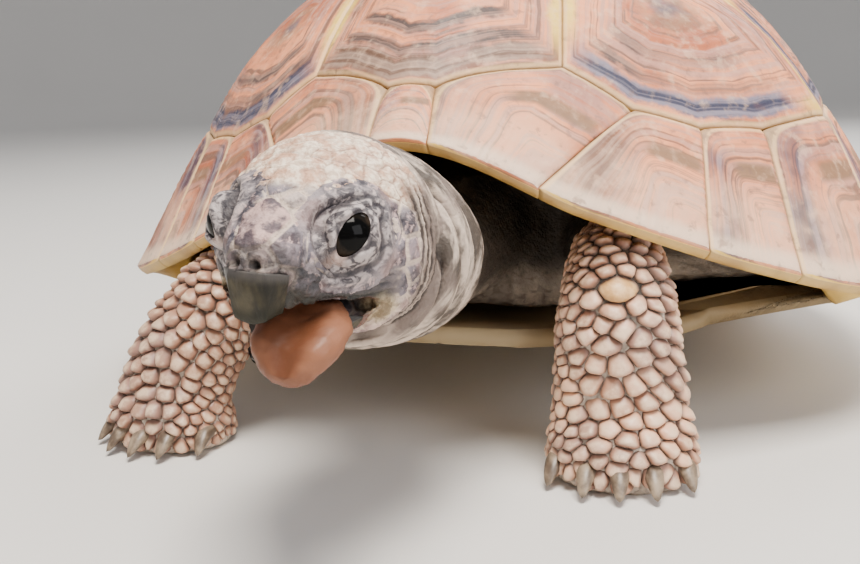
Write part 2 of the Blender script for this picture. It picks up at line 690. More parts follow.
def head_sizes(ahead):
    """Half-width, top, bottom and cheek level of the head at an array of stations."""
    return (curve(ahead, HEAD_STATIONS, HEAD_HALF_WIDTHS), curve(ahead, HEAD_STATIONS, HEAD_TOPS),
            curve(ahead, HEAD_STATIONS, HEAD_BOTTOMS), curve(ahead, HEAD_STATIONS, CHEEK_LEVELS))


def muzzle(points, lower=False):
    """Head coordinates once the muzzle is drawn in at the lips and leant back at its front."""
    side, ahead, up = np.moveaxis(np.asarray(points, float), -1, 0)
    draw = MUZZLE_DRAW * ease(ahead, 0.0, 12.0) * ease(BROW_LEVEL - up, 0.0, 6.0)
    lean = MUZZLE_LEAN * ease(ahead, 8.0, 16.0) * np.maximum(NOSTRIL_LEVEL - up, 0.0)
    side = side * (1 - draw)
    if lower:
        share = ease(ahead, HINGE, HINGE + 5.0)
        side = side * (1 - JAW_DRAW * share) + JAW_SLIDE * share
    return np.stack([side, ahead - lean, up], -1)


def head_rings(stations):
    """Sections of the head with its jaws closed, in head coordinates, before muzzle()."""
    turn = full_turn(HEAD_POINTS)
    rise = np.sin(turn)
    rings = []
    for ahead in stations:
        wide, top, bottom, cheek = head_sizes(ahead)
        crown = blend(CROWN_ROUND, CROWN_BACK_ROUND, ease(-ahead, -5.0, 4.0))
        across = np.abs(np.cos(turn)) ** np.where(rise > 0, crown, JAW_ROUND) * np.sign(np.cos(turn))
        up = np.where(rise > 0, cheek + (top - cheek) * rise, cheek + (cheek - bottom) * rise)
        rings.append(np.stack([wide * across, np.full(HEAD_POINTS, ahead), up], -1))
    return np.array(rings)


def upper_head():
    """The head above the open mouth: the throat side slopes back from the jaws' hinge."""
    share = 1 - (1 - np.linspace(0, 1, HEAD_ROWS)) ** 1.5        # closer together near the tip
    rings = head_rings(HEAD_BACK + (HEAD_STATIONS[-1] - HEAD_BACK) * share)
    floor = -np.maximum(HINGE - rings[..., 1], 0) / math.tan(math.radians(GAPE))
    wide = head_sizes(rings[..., 1])[0]
    palate = 1.6 * ease(wide - np.abs(rings[..., 0]), 1.4, 3.2) * ease(rings[..., 1], HINGE, HINGE + 3)
    palate = palate * (1 - ease(rings[..., 1], 12.0, 14.5))
    rings[..., 2] = np.maximum(rings[..., 2], floor + palate * (floor >= 0))
    points, faces, _ = loft(muzzle(rings), (0, HEAD_BACK, 5.0), muzzle((0, 17.9, 3.0)))
    return from_head(*points.T), faces


def jaw_turn():
    """Turns the closed lower jaw down about the corners of the mouth."""
    to_model = head_frame()
    shift = to_model @ Vector((0.0, -0.35, -0.45)) - to_model.translation
    pivot = to_model @ Matrix.Translation((0, -HINGE, 0))
    turn = pivot @ Matrix.Rotation(math.radians(GAPE), 4, "X") @ pivot.inverted()
    return Matrix.Translation(shift) @ turn


def lower_jaw():
    """The lower jaw: its floor is hollowed for the tongue inside a raised edge."""
    rings = head_rings(HINGE - 1.6 + (JAW_TIP - HINGE + 1.6) * np.linspace(0, 1, 36) ** 0.9)
    wide = head_sizes(rings[..., 1])[0]
    inside = ease(wide - np.abs(rings[..., 0]), 1.2, 3.0) * ease(JAW_TIP - rings[..., 1], 0.6, 2.4)
    rings[..., 2] = np.minimum(rings[..., 2], -0.2 - 2.4 * inside)
    rings = muzzle(rings, lower=True)
    points, faces, _ = loft(rings, None, rings[-1].mean(0) + (0, 0.5, 0))
    return move(jaw_turn(), from_head(*points.T)), faces


# ---------------------------------------------------------------- the rest of the flesh

def sweep(stations, count, steps, crest=1.0):
    """Rings along a smooth path: each station is (centre, half_width, half_depth, side).

    A crest over 1 makes the upper half of each ring narrower than an ellipse.
    """
    places = np.arange(len(stations))
    fine = np.linspace(0, len(stations) - 1, steps)
    centres = np.stack([curve(fine, places, [s[0][axis] for s in stations]) for axis in range(3)], -1)
    wide = curve(fine, places, [s[1] for s in stations])
    deep = curve(fine, places, [s[2] for s in stations])
    ahead = unit(np.gradient(centres, axis=0))
    side = np.array([s[3] for s in stations], float)
    side = np.stack([np.interp(fine, places, side[:, axis]) for axis in range(3)], -1)
    across = unit(side - ahead * (side * ahead).sum(1, keepdims=True))
    other = np.cross(ahead, across)
    turn = full_turn(count)[None, :, None]
    rise = (other * deep[:, None])[:, None] * np.sin(turn)
    level = np.abs(np.cos(turn)) ** np.where(rise[..., 2:] > 0, crest, 1.0) * np.sign(np.cos(turn))
    return centres[:, None] + (across * wide[:, None])[:, None] * level + rise, centres


def neck_body():
    rings, centres = sweep(NECK_STATIONS, *NECK_GRID, NAPE_ROUND)
    hood = ease(np.arange(len(rings)), 0, 5)[:, None, None]
    rings = centres[:, None] + (rings - centres[:, None]) * (0.86 + 0.14 * hood)
    points, faces, _ = loft(rings, centres[0], centres[-1])
    return points, faces


def tail_body():
    rings, centres = sweep(TAIL_STATIONS, *TAIL_GRID)
    points, faces, _ = loft(rings, centres[0], np.array(TAIL_TIP))
    return points, faces


def sole_axes(heading):
    """The way a foot points, and its left."""
    turn = math.radians(heading)
    return (np.array((math.sin(turn), -math.cos(turn), 0)),
            np.array((math.cos(turn), math.sin(turn), 0)))


def leg_rings(name):
    """Rings of a leg from the body down to its flat sole, and the centre of each."""
    path, (centre, heading, half_width, half_length), _ = LEGS[name]
    forward, across = sole_axes(heading)
    stations = [(point, wide, deep, across) for point, wide, deep in path]
    rings, centres = sweep(stations, *LEG_GRID)
    turn = full_turn(LEG_GRID[0])[:, None]
    foot = []
    for height, size in SOLE:
        flat = np.array((centre[0], centre[1], height))
        foot.append(flat + across * half_width * size * np.cos(turn)
                    + forward * half_length * size * np.sin(turn))
    foot = np.array(foot)
    return np.concatenate([rings, foot]), np.concatenate([centres, foot.mean(1)])


def leg_body(name):
    rings, centres = leg_rings(name)
    points, faces, _ = loft(rings, centres[0], centres[-1])
    return points, faces


def trunk_copy():
    """The trunk's solid, refined, without its top, which no view reaches under the shell."""
    work = bmesh.new()
    work.from_mesh(frame["nodes"]["trunk"].data)
    bmesh.ops.remove_doubles(work, verts=work.verts, dist=0.00001)
    bmesh.ops.subdivide_edges(work, edges=work.edges, cuts=3, use_grid_fill=True)
    points = np.array([vertex.co for vertex in work.verts]) / MM + (0, MIDDLE_Y, 0)
    points[:, 2] = np.minimum(points[:, 2], TRUNK_CUT)
    faces = [tuple(vertex.index for vertex in face.verts) for face in work.faces]
    work.free()
    return points, faces


# ---------------------------------------------------------------- the skin

def stretch(points, inverse=False):
    """A stretched space for remeshing, in which the head is large and the hidden middle small."""
    grid = np.arange(-125.0, 125.0, 0.25)
    scale = np.interp(grid, STRETCH_Y, STRETCH)
    run = np.concatenate([[0.0], np.cumsum(0.5 * (scale[1:] + scale[:-1]) * 0.25)])
    points = np.array(points, float)
    y = np.interp(points[:, 1], run, grid) if inverse else points[:, 1]
    factor = np.interp(y, STRETCH_Y, STRETCH)[:, None]
    level = points[:, [0, 2]]
    level = level / factor + STRETCH_AXIS if inverse else (level - STRETCH_AXIS) * factor
    y = y if inverse else np.interp(y, grid, run)
    return np.stack([level[:, 0], y, level[:, 1]], -1)


def remeshed(bodies):
    """One closed quad surface over overlapping bodies."""
    points, faces = joined(bodies)
    mesh = bpy.data.meshes.new("flesh")
    mesh.from_pydata((stretch(points) * MM).tolist(), [], faces)
    work = place_object("flesh", mesh)
    step = work.modifiers.new("remesh", "REMESH")
    step.mode = "VOXEL"
    step.voxel_size = VOXEL * MM
    shaped = work.evaluated_get(bpy.context.evaluated_depsgraph_get())
    result = bpy.data.meshes.new_from_object(shaped)
    bpy.data.objects.remove(work)
    return stretch(read_array(result.vertices, "co", 3) / MM, inverse=True), result


def sums(owner, points, count):
    """The sum of the points of each owner."""
    return np.stack([np.bincount(owner, column, count) for column in points.T], -1)


def relax(points, edges, rounds, share):
    """Moves each point towards the mean of its neighbours; share may differ from point to point."""
    count = np.bincount(edges.ravel(), minlength=len(points))[:, None]
    share = np.broadcast_to(share, len(points))[:, None]
    first, second = edges.T
    for _ in range(rounds):
        total = sums(first, points[second], len(points)) + sums(second, points[first], len(points))
        points = points + (total / count - points) * share
    return points


def point_normals(mesh, points):
    """Normals of the mesh with its vertices moved to the points."""
    mesh.vertices.foreach_set("co", (points * MM).astype(np.float32).ravel())
    mesh.update()
    return read_array(mesh.vertices, "normal", 3)


def cracks(points, size, seed):
    """Distance from 0 at the borders of irregular cells of a given size to about 1 inside them."""
    scaled = points / size + seed * 7.7
    near = np.array([noise.voronoi(Vector(point))[0][:2] for point in scaled])
    return np.clip(1.6 * (near[:, 1] - near[:, 0]), 0, 1)


class HeadPlates:
    """Horny plates of the head: seeds with weights, in head coordinates."""

    def __init__(self, spots, seed=5):
        rng = np.random.default_rng(seed)
        named = [(side * x, y, z, weight) for x, y, z, weight in NAMED_PLATES for side in (1, -1)]
        named += MIDDLE_PLATES
        named = [(x + PLATE_SHIFT, y, z, weight) for x, y, z, weight in named]
        seeds = [np.array(row) for row in named]
        order = rng.permutation(len(spots))[:PLATE_TRIES]
        for spot in spots[order]:
            gap = self.spacing(spot)
            known = np.array(seeds)
            reach = np.linalg.norm(known[:, :3] - spot, axis=1) - 0.9 * known[:, 3]
            if reach.min() > gap:
                seeds.append(np.array([*spot, 0.0]))
        self.seeds = np.array(seeds)
        self.random = rng.random(len(seeds))

    @staticmethod
    def spacing(spot):
        """The least distance from a small plate's seed to its neighbours."""
        side, ahead, up = spot
        eye = math.dist((abs(side), ahead, up), EYE_PLACE)
        gap = blend(*PLATE_SPACING, ease(eye, 3.5, 8.0))
        gap = blend(gap, PLATE_SPACING[1], ease(up, 9.0, 14.0))
        return gap * blend(1.0, 0.85, ease(-ahead, 2, 9))

    def read(self, spots, batch=4000):
        """For each spot: its plate's index and its distance to the plate's border."""
        owner = np.empty(len(spots), int)
        border = np.empty(len(spots))
        for start in range(0, len(spots), batch):
            part = spots[start:start + batch]
            apart = ((part[:, None] - self.seeds[None, :, :3]) ** 2).sum(2) - self.seeds[:, 3] ** 2
            two = np.argpartition(apart, 1, axis=1)[:, :2]
            near = np.take_along_axis(apart, two, 1)
            swap = near[:, 0] > near[:, 1]
            two[swap] = two[swap][:, ::-1]
            near = np.sort(near, 1)
            span = np.linalg.norm(self.seeds[two[:, 0], :3] - self.seeds[two[:, 1], :3], axis=1)
            owner[start:start + batch] = two[:, 0]
            border[start:start + batch] = (near[:, 1] - near[:, 0]) / (2 * span)
        return owner, border


def eye_axes(side):
    """Centre of an eye and its own axes: along the slit, across it, and out of the head."""
    centre = from_head(side * EYE_PLACE[0], EYE_PLACE[1], EYE_PLACE[2])
    out = unit(np.array(EYE_LOOKS[side]) * (side, 1, 1))
    tilt = math.radians(SLIT_TILT)
    slit = np.array((0.0, -math.cos(tilt), math.sin(tilt)))
    slit = unit(slit - out * slit.dot(out))
    turned = [from_head(*axis) - from_head(0, 0, 0) for axis in (slit, np.cross(slit, out) * side, out)]
    return centre, *turned


def lid_body(side, tree):
    """Both lids of an eye as one closed ring that hugs the eyeball and dives under the skin."""
    centre, slit, across, out = eye_axes(side)
    around = full_turn(LID_GRID[0])
    opening = np.stack([OPENING[0] * np.cos(around),
                        OPENING[1] * np.sign(np.sin(around)) * np.abs(np.sin(around)) ** 1.15], -1)
    shares = np.linspace(0, 1, LID_GRID[1])
    rings = []
    wobble = wander(np.stack([3 * np.cos(around), 3 * np.sin(around), side + 0 * around], -1), 1.6, 2.0)
    for share in shares:
        radius = np.linalg.norm(opening, axis=1, keepdims=True)
        outward = opening / radius
        flat = opening + outward * (LID_REACH - 0.55 * radius + 1.2) * share ** 1.1
        distance = np.linalg.norm(flat, axis=1)
        base = centre + slit * flat[:, :1] + across * flat[:, 1:]
        skin = np.empty(len(flat))
        for i, spot in enumerate(base):
            hit = tree.ray_cast(Vector(spot + out * 9.0), Vector(-out))
            skin[i] = 9.0 - hit[3] if hit[0] is not None else 0.0
        ball = np.sqrt(np.maximum((EYE_RADIUS + LID_THICK) ** 2 - distance ** 2, 0.3))
        lift = ease(share, 0.0, 0.10)
        height = blend(ball, skin + 0.20, ease(share, 0.30, 0.80))
        creases = -0.26 * np.cos(2 * math.pi * (LID_FOLDS * share + 0.25 * wobble)) - 0.04
        height = height + creases * ease(share, 0.0, 0.10) * (1 - ease(share, 0.70, 1.0))
        height = height - LID_THICK * (1 - lift) - 0.75 * ease(share, 0.86, 1.0)
        rings.append(base + out * height[:, None])
    inner = rings[0] - out * 0.7
    outer = rings[-1] - out * 1.3
    rings = np.array([inner] + rings + [outer])
    rows, count = rings.shape[:2]
    faces = []
    for row in range(rows):
        for i in range(count):
            j = (i + 1) % count
            below, above = row * count, (row + 1) % rows * count
            faces.append((below + i, below + j, above + j, above + i))
    depth = np.repeat(np.concatenate([[0.0], shares, [1.0]]), count)
    front = np.tile(ease(-np.cos(around), 0.80, 0.97), rows) * (1 - ease(depth, 0.16, 0.30))
    groove = 1 - wave(LID_FOLDS * depth + 0.25 * np.tile(wobble, rows))
    return rings.reshape(-1, 3), faces, depth, groove, front


def skin():
    """The one skin of head, neck, trunk, legs and tail, with its plates, folds and lids."""
    bodies = [upper_head(), lower_jaw(), neck_body(), tail_body(), trunk_copy()]
    bodies += [leg_body(name) for name in LEGS]
    points, mesh = remeshed(bodies)
    points[:, 2] = np.maximum(points[:, 2], 0.0)
    edges = read_array(mesh.edges, "vertices", 2, np.int32)
    points = relax(points, edges, 2, 0.5)
    head = into_head(points)
    inside_head = head_share(head)
    loose = (1 - inside_head) * ease(points[:, 2], 4.0, 9.0)
    points = relax(points, edges, 14, 0.6 * loose * ease(points[:, 1], -80, -70))
    normals = point_normals(mesh, points)
    points = points - normals * (COAT_DEPTH * ease(points[:, 2], 0.0, 2.0))[:, None]
    faces = [tuple(face.vertices) for face in mesh.polygons]
    tree = BVHTree.FromPolygons(points.tolist(), faces)
    lids = [lid_body(side, tree) for side in (1, -1)]
    head = into_head(points)
    marks = {"edge": np.ones(len(points)), "head": inside_head, "wet": mouth_share(head, normals)}
    for mark in ("cell", "plate", "crown", "band", "neck", "fold", "corner", "haw", "pit", "muzzle",
                 "cave", "brim", "rust", "lid"):
        marks[mark] = np.zeros(len(points))
    points = shape_head(points, normals, head, marks)
    points = shape_body(points, normals, marks)
    points = sink_eyes(points, marks)
    normals = point_normals(mesh, points)
    depth, groove, front = (np.concatenate([lid[k] for lid in lids]) for k in (2, 3, 4))
    on_lids = {"edge": 1.0, "cell": 0.5, "head": 1.0, "fold": groove, "haw": front,
               "lid": 1 - 0.75 * ease(depth, 0.30, 1.0)}
    for mark, values in marks.items():
        marks[mark] = np.r_[values, np.broadcast_to(on_lids.get(mark, 0.0), len(depth))]
    bpy.data.meshes.remove(mesh)
    new_piece("skin", *joined([(points, faces)] + [lid[:2] for lid in lids]), "skin",
              ["head", "jaw_lower", "neck", "trunk", "tail", *LEGS], None, marks)
    return points, normals


def head_share(head):
    """1 on the head, 0 on the neck and body, from head coordinates."""
    wide, top, bottom, cheek = head_sizes(head[:, 1])
    tall = np.where(head[:, 2] > cheek, top - cheek, cheek - bottom)
    radius = np.hypot(head[:, 0] / wide, (head[:, 2] - cheek) / tall)
    return np.where(head[:, 1] > HEAD_BACK + 5.5, 1.0, 0.0) * (1 - ease(radius, 1.03, 1.06))


def mouth_share(head, normals):
    """1 on the mouth's wet lining."""
    up = normals @ (from_head(0, 0, 1) - from_head(0, 0, 0))
    wide = head_sizes(head[:, 1])[0] * (1 - MUZZLE_DRAW * ease(head[:, 1], 0.0, 12.0))
    inner = ease(wide - np.abs(head[:, 0]), 0.7, 1.5) * ease(head[:, 1], -3.0, 0.0)
    palate = ease(-up, 0.3, 0.7) * (head[:, 2] > -3.0) * (head[:, 2] < 2.2)
    floor = ease(up, 0.2, 0.6) * (head[:, 2] < -0.9)
    return inner * np.clip(palate + floor, 0, 1) * ease(head[:, 1], 2.6, 4.4) * head_share(head)


def shape_head(points, normals, head, marks):
    """Gives the head its plates, cracks, lip bands, nostrils and the seat of the beak."""
    on_head = marks["head"] > 0.02
    spots = head[on_head]
    side, ahead, up = spots.T
    plates = HeadPlates(spots)
    owner, border = plates.read(spots)
    dry = 1 - marks["wet"][on_head]
    crown = ease(up - 0.25 * ahead, 8.8, 12.0)
    collar = ease(-ahead, 0.2, 2.6) * (1 - ease(up, 10.5, 14.0))
    groove = 1 - ease(border, 0.0, 0.32)
    pillow = np.minimum(border, 1.0)
    folded = np.stack([np.abs(side), ahead, up], -1)        # both sides of the head laid on one
    eye = np.linalg.norm(folded - EYE_PLACE, axis=1)
    depth = blend(*PLATE_CRACKS, crown) * (1 - 0.8 * collar) * ease(eye, 4.9, 6.2)
    rise = depth * (0.55 * pillow - groove) * dry
    band = between(ahead, 1.0, 4.0, 9.2, 10.6) * between(up, -0.6, 0.4, 3.2, 4.4)
    ripples = wave((up + 0.06 * ahead + 0.15 * wander(spots, 3.0, 9.0)) / LIP_PITCH)
    rise = blend(rise, -0.30 * ripples ** 2, band * dry)
    pleats = wave((ahead + 0.10 * up + 0.5 * wander(spots, 5.0, 6.0)) / COLLAR_PITCH)
    rise = rise - 0.30 * pleats ** 2 * collar
    wrinkles = np.abs(wander(spots * (0.7, 0.7, 1.6), 2.0, 4.0, 2)) - 0.25
    flakes = np.abs(wander(spots, 0.9, 8.0, 2))
    rise = rise + 0.12 * wander(spots, 1.4, 3.0, 2) + 0.16 * np.minimum(wrinkles, 0.2) * dry
    rise = rise - 0.12 * np.maximum(0.22 - flakes, 0) / 0.22 * dry
    frown = np.abs(ahead + 0.12 * side ** 2 / 6 + 0.5 * wander(spots, 4.0, 2.0) - 3.4)
    rise = rise - 0.30 * mound(frown, 0.28) * ease(up, 12.5, 14.0)
    under_beak = (ease(ahead, BEAK_BACK + 1.2, BEAK_BACK + 1.9)
                  * between(up, -2.0, -0.5, BEAK_HEIGHT - 0.6, BEAK_HEIGHT))
    rise = blend(rise, -0.5, under_beak)
    nostril = np.hypot(np.abs(side - 0.5 * PLATE_SHIFT) - NOSTRIL[0], up - NOSTRIL[2])
    pit = (1 - ease(nostril, 0.25, 0.75)) * (ahead > NOSTRIL[1] - 2)
    rise = rise - 0.9 * pit + 0.22 * mound(nostril - 0.95, 0.3) * (ahead > 15)
    points = points.copy()
    points[on_head] += normals[on_head] * (rise * marks["head"][on_head])[:, None]
    level = up - 0.15 * np.minimum(ahead - 8, 0) - 0.46 * np.maximum(ahead - 8, 0)
    near_beak = 1.3 * ease(ahead, 9.5, 12.5)
    lip = (1 - ease(up - near_beak, 0.3, 1.9)) * ease(up, -2.5, -1.0)
    values = {"edge": np.maximum(border, 1 - ease(eye, 4.7, 5.6)),
              "pit": pit,
              "muzzle": (1 - ease(level, 2.0, 5.0)) * ease(ahead, 0.0, 5.0),
              "brim": lip * ease(ahead, 1.5, 4.5),
              "cell": plates.random[owner],
              "plate": ease(plates.seeds[owner, 3], 0.5, 2.0),
              "rust": owner == 2 * len(NAMED_PLATES),            # the first of the middle plates
              "crown": crown * (1 - 0.6 * mound(frown, 0.22)),
              "band": band * dry * (0.35 + 0.65 * ripples),
              "neck": collar,
              "fold": 1 - pleats,
              "corner": 1 - ease(np.linalg.norm(folded - CORNER, axis=1), 1.4, 3.0)}
    for mark, value in values.items():
        marks[mark][on_head] = value
    return points


def shape_body(points, normals, marks):
    """Folds of the neck, and fine scales over the neck, legs and trunk."""
    body = marks["head"] < 0.98
    spots = points[body]
    on_neck = ease(-spots[:, 1], 56, 64) * (np.hypot(spots[:, 0] + 1.5, spots[:, 2] - 36) < 19)
    lean = 0.16 * (spots[:, 2] - 38) + 0.06 * np.abs(spots[:, 0]) + 0.5 * wander(spots, 13.0, 4.0)
    phase = np.interp(spots[:, 1] + lean, FOLD_LINES, np.arange(len(FOLD_LINES)))
    folds = np.abs(np.sin(math.pi * phase)) ** 0.5 - 0.80
    fade = 1 - 0.4 * ease(spots[:, 1], -78, -64)
    rise = FOLD_DEPTH * folds * fade * on_neck
    creases = wave(3.0 * phase + 0.6 * wander(spots, 8.0, 3.0))
    rise = rise - 0.22 * creases ** 2 * on_neck
    fine = cracks(spots * (1.0, 1.25, 0.7), 1.15, 2.0)
    soft = ease(spots[:, 2], 0.4, 3.0)
    grain = blend(0.18, 0.04, on_neck)
    rise = (rise + grain * (ease(fine, 0.0, 0.45) - 0.6)) * soft
    rise = rise + 0.25 * wander(spots, 7.0, 6.0) * soft * (1 - on_neck)
    points = points.copy()
    share = 1 - marks["head"][body]
    points[body] += normals[body] * (rise * share)[:, None]
    marks["fold"][body] = blend(marks["fold"][body], (folds + 0.80) * on_neck, share)
    marks["neck"][body] = blend(marks["neck"][body], on_neck, share)
    marks["edge"][body] = np.where(marks["head"][body] < 0.5, fine, marks["edge"][body])
    marks["cave"][body] = ease(spots[:, 2] + 1.2 * wander(spots, 8.0, 5.0), 21.0, 29.0)
    return points


def sink_eyes(points, marks):
    """Takes the skin in front of each eyeball back behind it, under the lids."""
    points = points.copy()
    for side in (1, -1):
        centre, slit, across, out = eye_axes(side)
        offset = points - centre
        height = offset @ out
        flat = np.hypot(offset @ slit, offset @ across)
        near = (height > -2.5) & (flat < LID_REACH + 0.5)
        goal = np.sqrt(np.maximum(EYE_RADIUS ** 2 - flat ** 2, 0)) - 1.6
        share = 1 - ease(flat, LID_REACH - 0.9, LID_REACH + 0.1)
        change = np.where(near, np.minimum(goal - height, 0) * share, 0)
        points += out * change[:, None]
        ring = (1 - ease(flat, LID_REACH - 0.2, LID_REACH + 1.3)) * near
        marks["lid"] = np.maximum(marks["lid"], 0.6 * ring)
    return points


# ---------------------------------------------------------------- eyes, beak, tongue, claws

def eyes():
    tilt = np.linspace(0, math.pi, EYE_GRID[1])[1:-1, None, None]
    turn = full_turn(EYE_GRID[0])[None, :, None]
    for side, label in SIDES:
        centre, slit, across, out = eye_axes(side)
        level = np.cos(turn) * slit + np.sin(turn) * across
        rings = centre + EYE_RADIUS * 0.99 * (np.cos(tilt) * out + np.sin(tilt) * level)
        points, faces, uv = loft(rings, centre + out * EYE_RADIUS, centre - out * EYE_RADIUS)
        front = (points - centre) @ out / EYE_RADIUS
        new_piece(f"eyeball_{label}", points, faces, "eye", [f"eye_{label}"], uv, {"front": front})


def horn_band(name, solid, axis_at, reach, lower, upper, lift, carry, replaced):
    """A sheath of horn round a jaw: rays from an upright axis find the jaw's surface.

    lower and upper give the sheath's edges by angle from straight ahead, in head coordinates; a
    lift below 0 stands for the lower jaw.
    """
    side, columns = reach
    angles = np.linspace(-side, side, columns)
    points, faces = solid
    spots = move(head_frame().inverted() @ carry.inverted(), points) * (1, -1, 1)
    tree = BVHTree.FromPolygons(spots.tolist(), faces)
    levels = np.linspace(0, 1, HORN_ROWS)
    outer, inner = [], []
    for angle in angles:
        turn = math.radians(angle)
        ray = Vector((math.sin(turn), math.cos(turn), 0))
        column_out, column_in = [], []
        for level in levels:
            up = blend(lower(angle), upper(angle), level)
            probe = max(up, 0.3) if lift > 0 else up
            origin = Vector((JAW_SLIDE * (lift < 0), axis_at, probe))
            hit = tree.ray_cast(origin + ray * 30, -ray)[0]
            hit = hit if hit is not None else origin + ray * 2.5
            rounded = 1 - 0.6 * ease(level, 0.80, 1.0) - 0.5 * (1 - ease(level, 0.0, 0.12))
            spot = Vector((hit.x, hit.y, up)) + ray * (abs(lift) * rounded)
            spot -= ray * (probe - up) * (MUZZLE_LEAN + 0.10 * (probe - up))
            column_out.append(spot)
            column_in.append(spot - ray * 1.1)
        outer.append(column_out)
        inner.append(column_in)
    rings = np.concatenate([np.array(outer), np.array(inner)[:, ::-1]], 1)
    model = move(carry, from_head(*rings.reshape(-1, 3).T)).reshape(rings.shape)
    body, body_faces, uv = loft(model)
    levels = np.tile(np.concatenate([levels, levels[::-1]]), len(angles))
    marks = {"level": np.r_[levels, 0.5, 0.5]}
    return new_piece(name, body, body_faces, "dark_horn", replaced, uv, marks)


def beak():
    def lower(angle):
        hook = 1 - ease(abs(angle), 0, 55)
        return -HOOK_DROP * hook + 0.05

    def upper(angle):
        return blend(BEAK_HEIGHT + 0.1, BEAK_HEIGHT - 0.3, ease(abs(angle), 20, 60))

    def notched(angle):
        return -0.1 - 0.12 * math.cos(math.radians(9 * angle))

    horn_band("beak_sheath", upper_head(), BEAK_BACK - 1.0, BEAK_ANGLES, lower, upper, 0.08,
              Matrix.Identity(4), ["beak_upper"])
    horn_band("lower_beak", lower_jaw(), 6.5, JAW_HORN_ANGLES, lambda angle: -2.4, notched, -0.22,
              jaw_turn(), [])


def tongue():
    places = np.arange(len(TONGUE_STATIONS))
    fine = np.linspace(0, places[-1], TONGUE_GRID[1])
    ahead, up, half_width, half_height = (curve(fine, places, column)[:, None]
                                          for column in zip(*TONGUE_STATIONS))
    turn = full_turn(TONGUE_GRID[0])
    side = half_width * np.cos(turn)
    hollow = mound(side, 0.52 * half_width) * ease(np.sin(turn), 0.0, 0.5)
    tall = up + half_height * (np.sin(turn) - 0.62 * hollow * ease(ahead, 5.5, 8.0))
    rings = from_head(TONGUE_SHIFT + side, ahead, tall)
    rings = move(jaw_turn(), rings.reshape(-1, 3)).reshape(rings.shape)
    out = unit(rings - rings.mean(1, keepdims=True))
    rings = rings + out * (0.10 * wander(rings, 0.8, 1.0) + 0.16 * wander(rings, 2.4, 2.0))[..., None]
    tip = rings[-1].mean(0) + 0.5 * (rings[-1].mean(0) - rings[-3].mean(0))
    points, faces, uv = loft(rings, None, tip)
    marks = {"hollow": np.r_[hollow.ravel(), 0, 0]}
    new_piece("tongue_flesh", points, faces, "tongue", ["tongue"], uv, marks)


def claws():
    turn = full_turn(20)[:, None]
    for name, (_, (centre, heading, half_width, half_length), count) in LEGS.items():
        forward, across = sole_axes(heading)
        bodies = []
        for k in range(count):
            share = 2 * k / (count - 1) - 1
            bulge = math.sqrt(max(1 - (0.9 * share) ** 2, 0.05))
            root = (np.array((centre[0], centre[1], 3.1)) + across * 0.83 * half_width * share
                    + forward * half_length * (0.9 * bulge - 0.16))
            fan = unit(forward + across * 0.28 * share)
            sideways = np.cross(fan, (0, 0, 1.0))
            rings = []
            for s in np.linspace(0, 1, 14)[:-1]:
                drop = 0.9 * math.sin(math.pi * s) - CLAW_DROP * s ** 1.4
                size = CLAW_RADIUS * (1 - s ** 2.2) ** 0.6
                rings.append(root + fan * CLAW_LENGTH * s + (0, 0, drop) + sideways * size * np.cos(turn)
                             + np.array((0, 0, 0.85)) * size * np.sin(turn))
            tip = root + fan * (CLAW_LENGTH + 0.1) + (0, 0, 0.05 - CLAW_DROP)
            bodies.append(loft(np.array(rings), None, tip))
        join_bodies(f"claws_{name}", bodies, "dark_horn")


def join_bodies(name, bodies, slot):
    """Several closed bodies as one piece; each keeps its own strip of the bake map."""
    points, faces = joined([body[:2] for body in bodies])
    uv = [(np.array(body_uv) * 0.96 + 0.02 + (i, 0)) / (len(bodies), 1)
          for i, (_, _, body_uv) in enumerate(bodies)]
    return new_piece(name, points, faces, slot, (), np.vstack(uv))


# ---------------------------------------------------------------- scales of the limbs

def scale_seeds(points, size, rng):
    """Indices of evenly spread points whose spacing follows the size at each point."""
    chosen = []
    for i in rng.permutation(len(points)):
        if chosen:
            apart = np.linalg.norm(points[chosen] - points[i], axis=1)
            if (apart < 0.40 * (size[chosen] + size[i])).any():
                continue
        chosen.append(i)
    chosen = np.array(chosen)
    for _ in range(5):
        apart = np.linalg.norm(points[:, None] - points[chosen], axis=-1) / size[chosen]
        owner = apart.argmin(1)
        count = np.maximum(np.bincount(owner, minlength=len(chosen)), 1)[:, None]
        middle = sums(owner, points, len(chosen)) / count
        chosen = np.linalg.norm(points[:, None] - middle, axis=-1).argmin(0)
    return np.unique(chosen)


def domed_scale(root, normal, lie, sizes, offsets, size, height, lift, bend):
    """A domed scale that fills its share of the skin between its neighbours.

    sizes and offsets are the neighbours' sizes and places from the root; the scale is wider across
    the limb than along it, stands up by lift at its free end, along lie, and curves back over a
    limb of radius bend.
    """
    side = np.cross(normal, lie)
    turn = full_turn(SCALE_POINTS)
    flat = np.stack([offsets @ lie * SCALE_SQUAT, offsets @ side], -1)
    reach = np.linalg.norm(flat, axis=1) + 1e-6
    toward = np.cos(turn)[:, None] * flat[:, 0] / reach + np.sin(turn)[:, None] * flat[:, 1] / reach
    share = size / (size + sizes)
    wall = (np.maximum(toward, 0) / (share * reach)) ** 12
    radius = (wall.sum(1) + (1 / (0.80 * size)) ** 12) ** (-1 / 12) - SCALE_GAP
    rings = []
    for spread, level in zip(SCALE_SPREADS, SCALE_LEVELS):
        x = radius * spread * np.cos(turn) / SCALE_SQUAT + 0.14 * size * max(level, 0.0)
        y = radius * spread * np.sin(turn)
        rise = height * level + lift * (0.5 + 1.6 * x / size) * max(level, 0.0) - y ** 2 / (2 * bend)
        rings.append(root + lie * x[:, None] + side * y[:, None] + normal * rise[:, None])
    top = root + normal * (height + 0.6 * lift) + lie * 0.16 * size
    body, faces, _ = loft(np.array(rings), None, top)
    return body, faces, np.r_[np.repeat(SCALE_LEVELS, SCALE_POINTS), SCALE_LEVELS[0], 1.0]


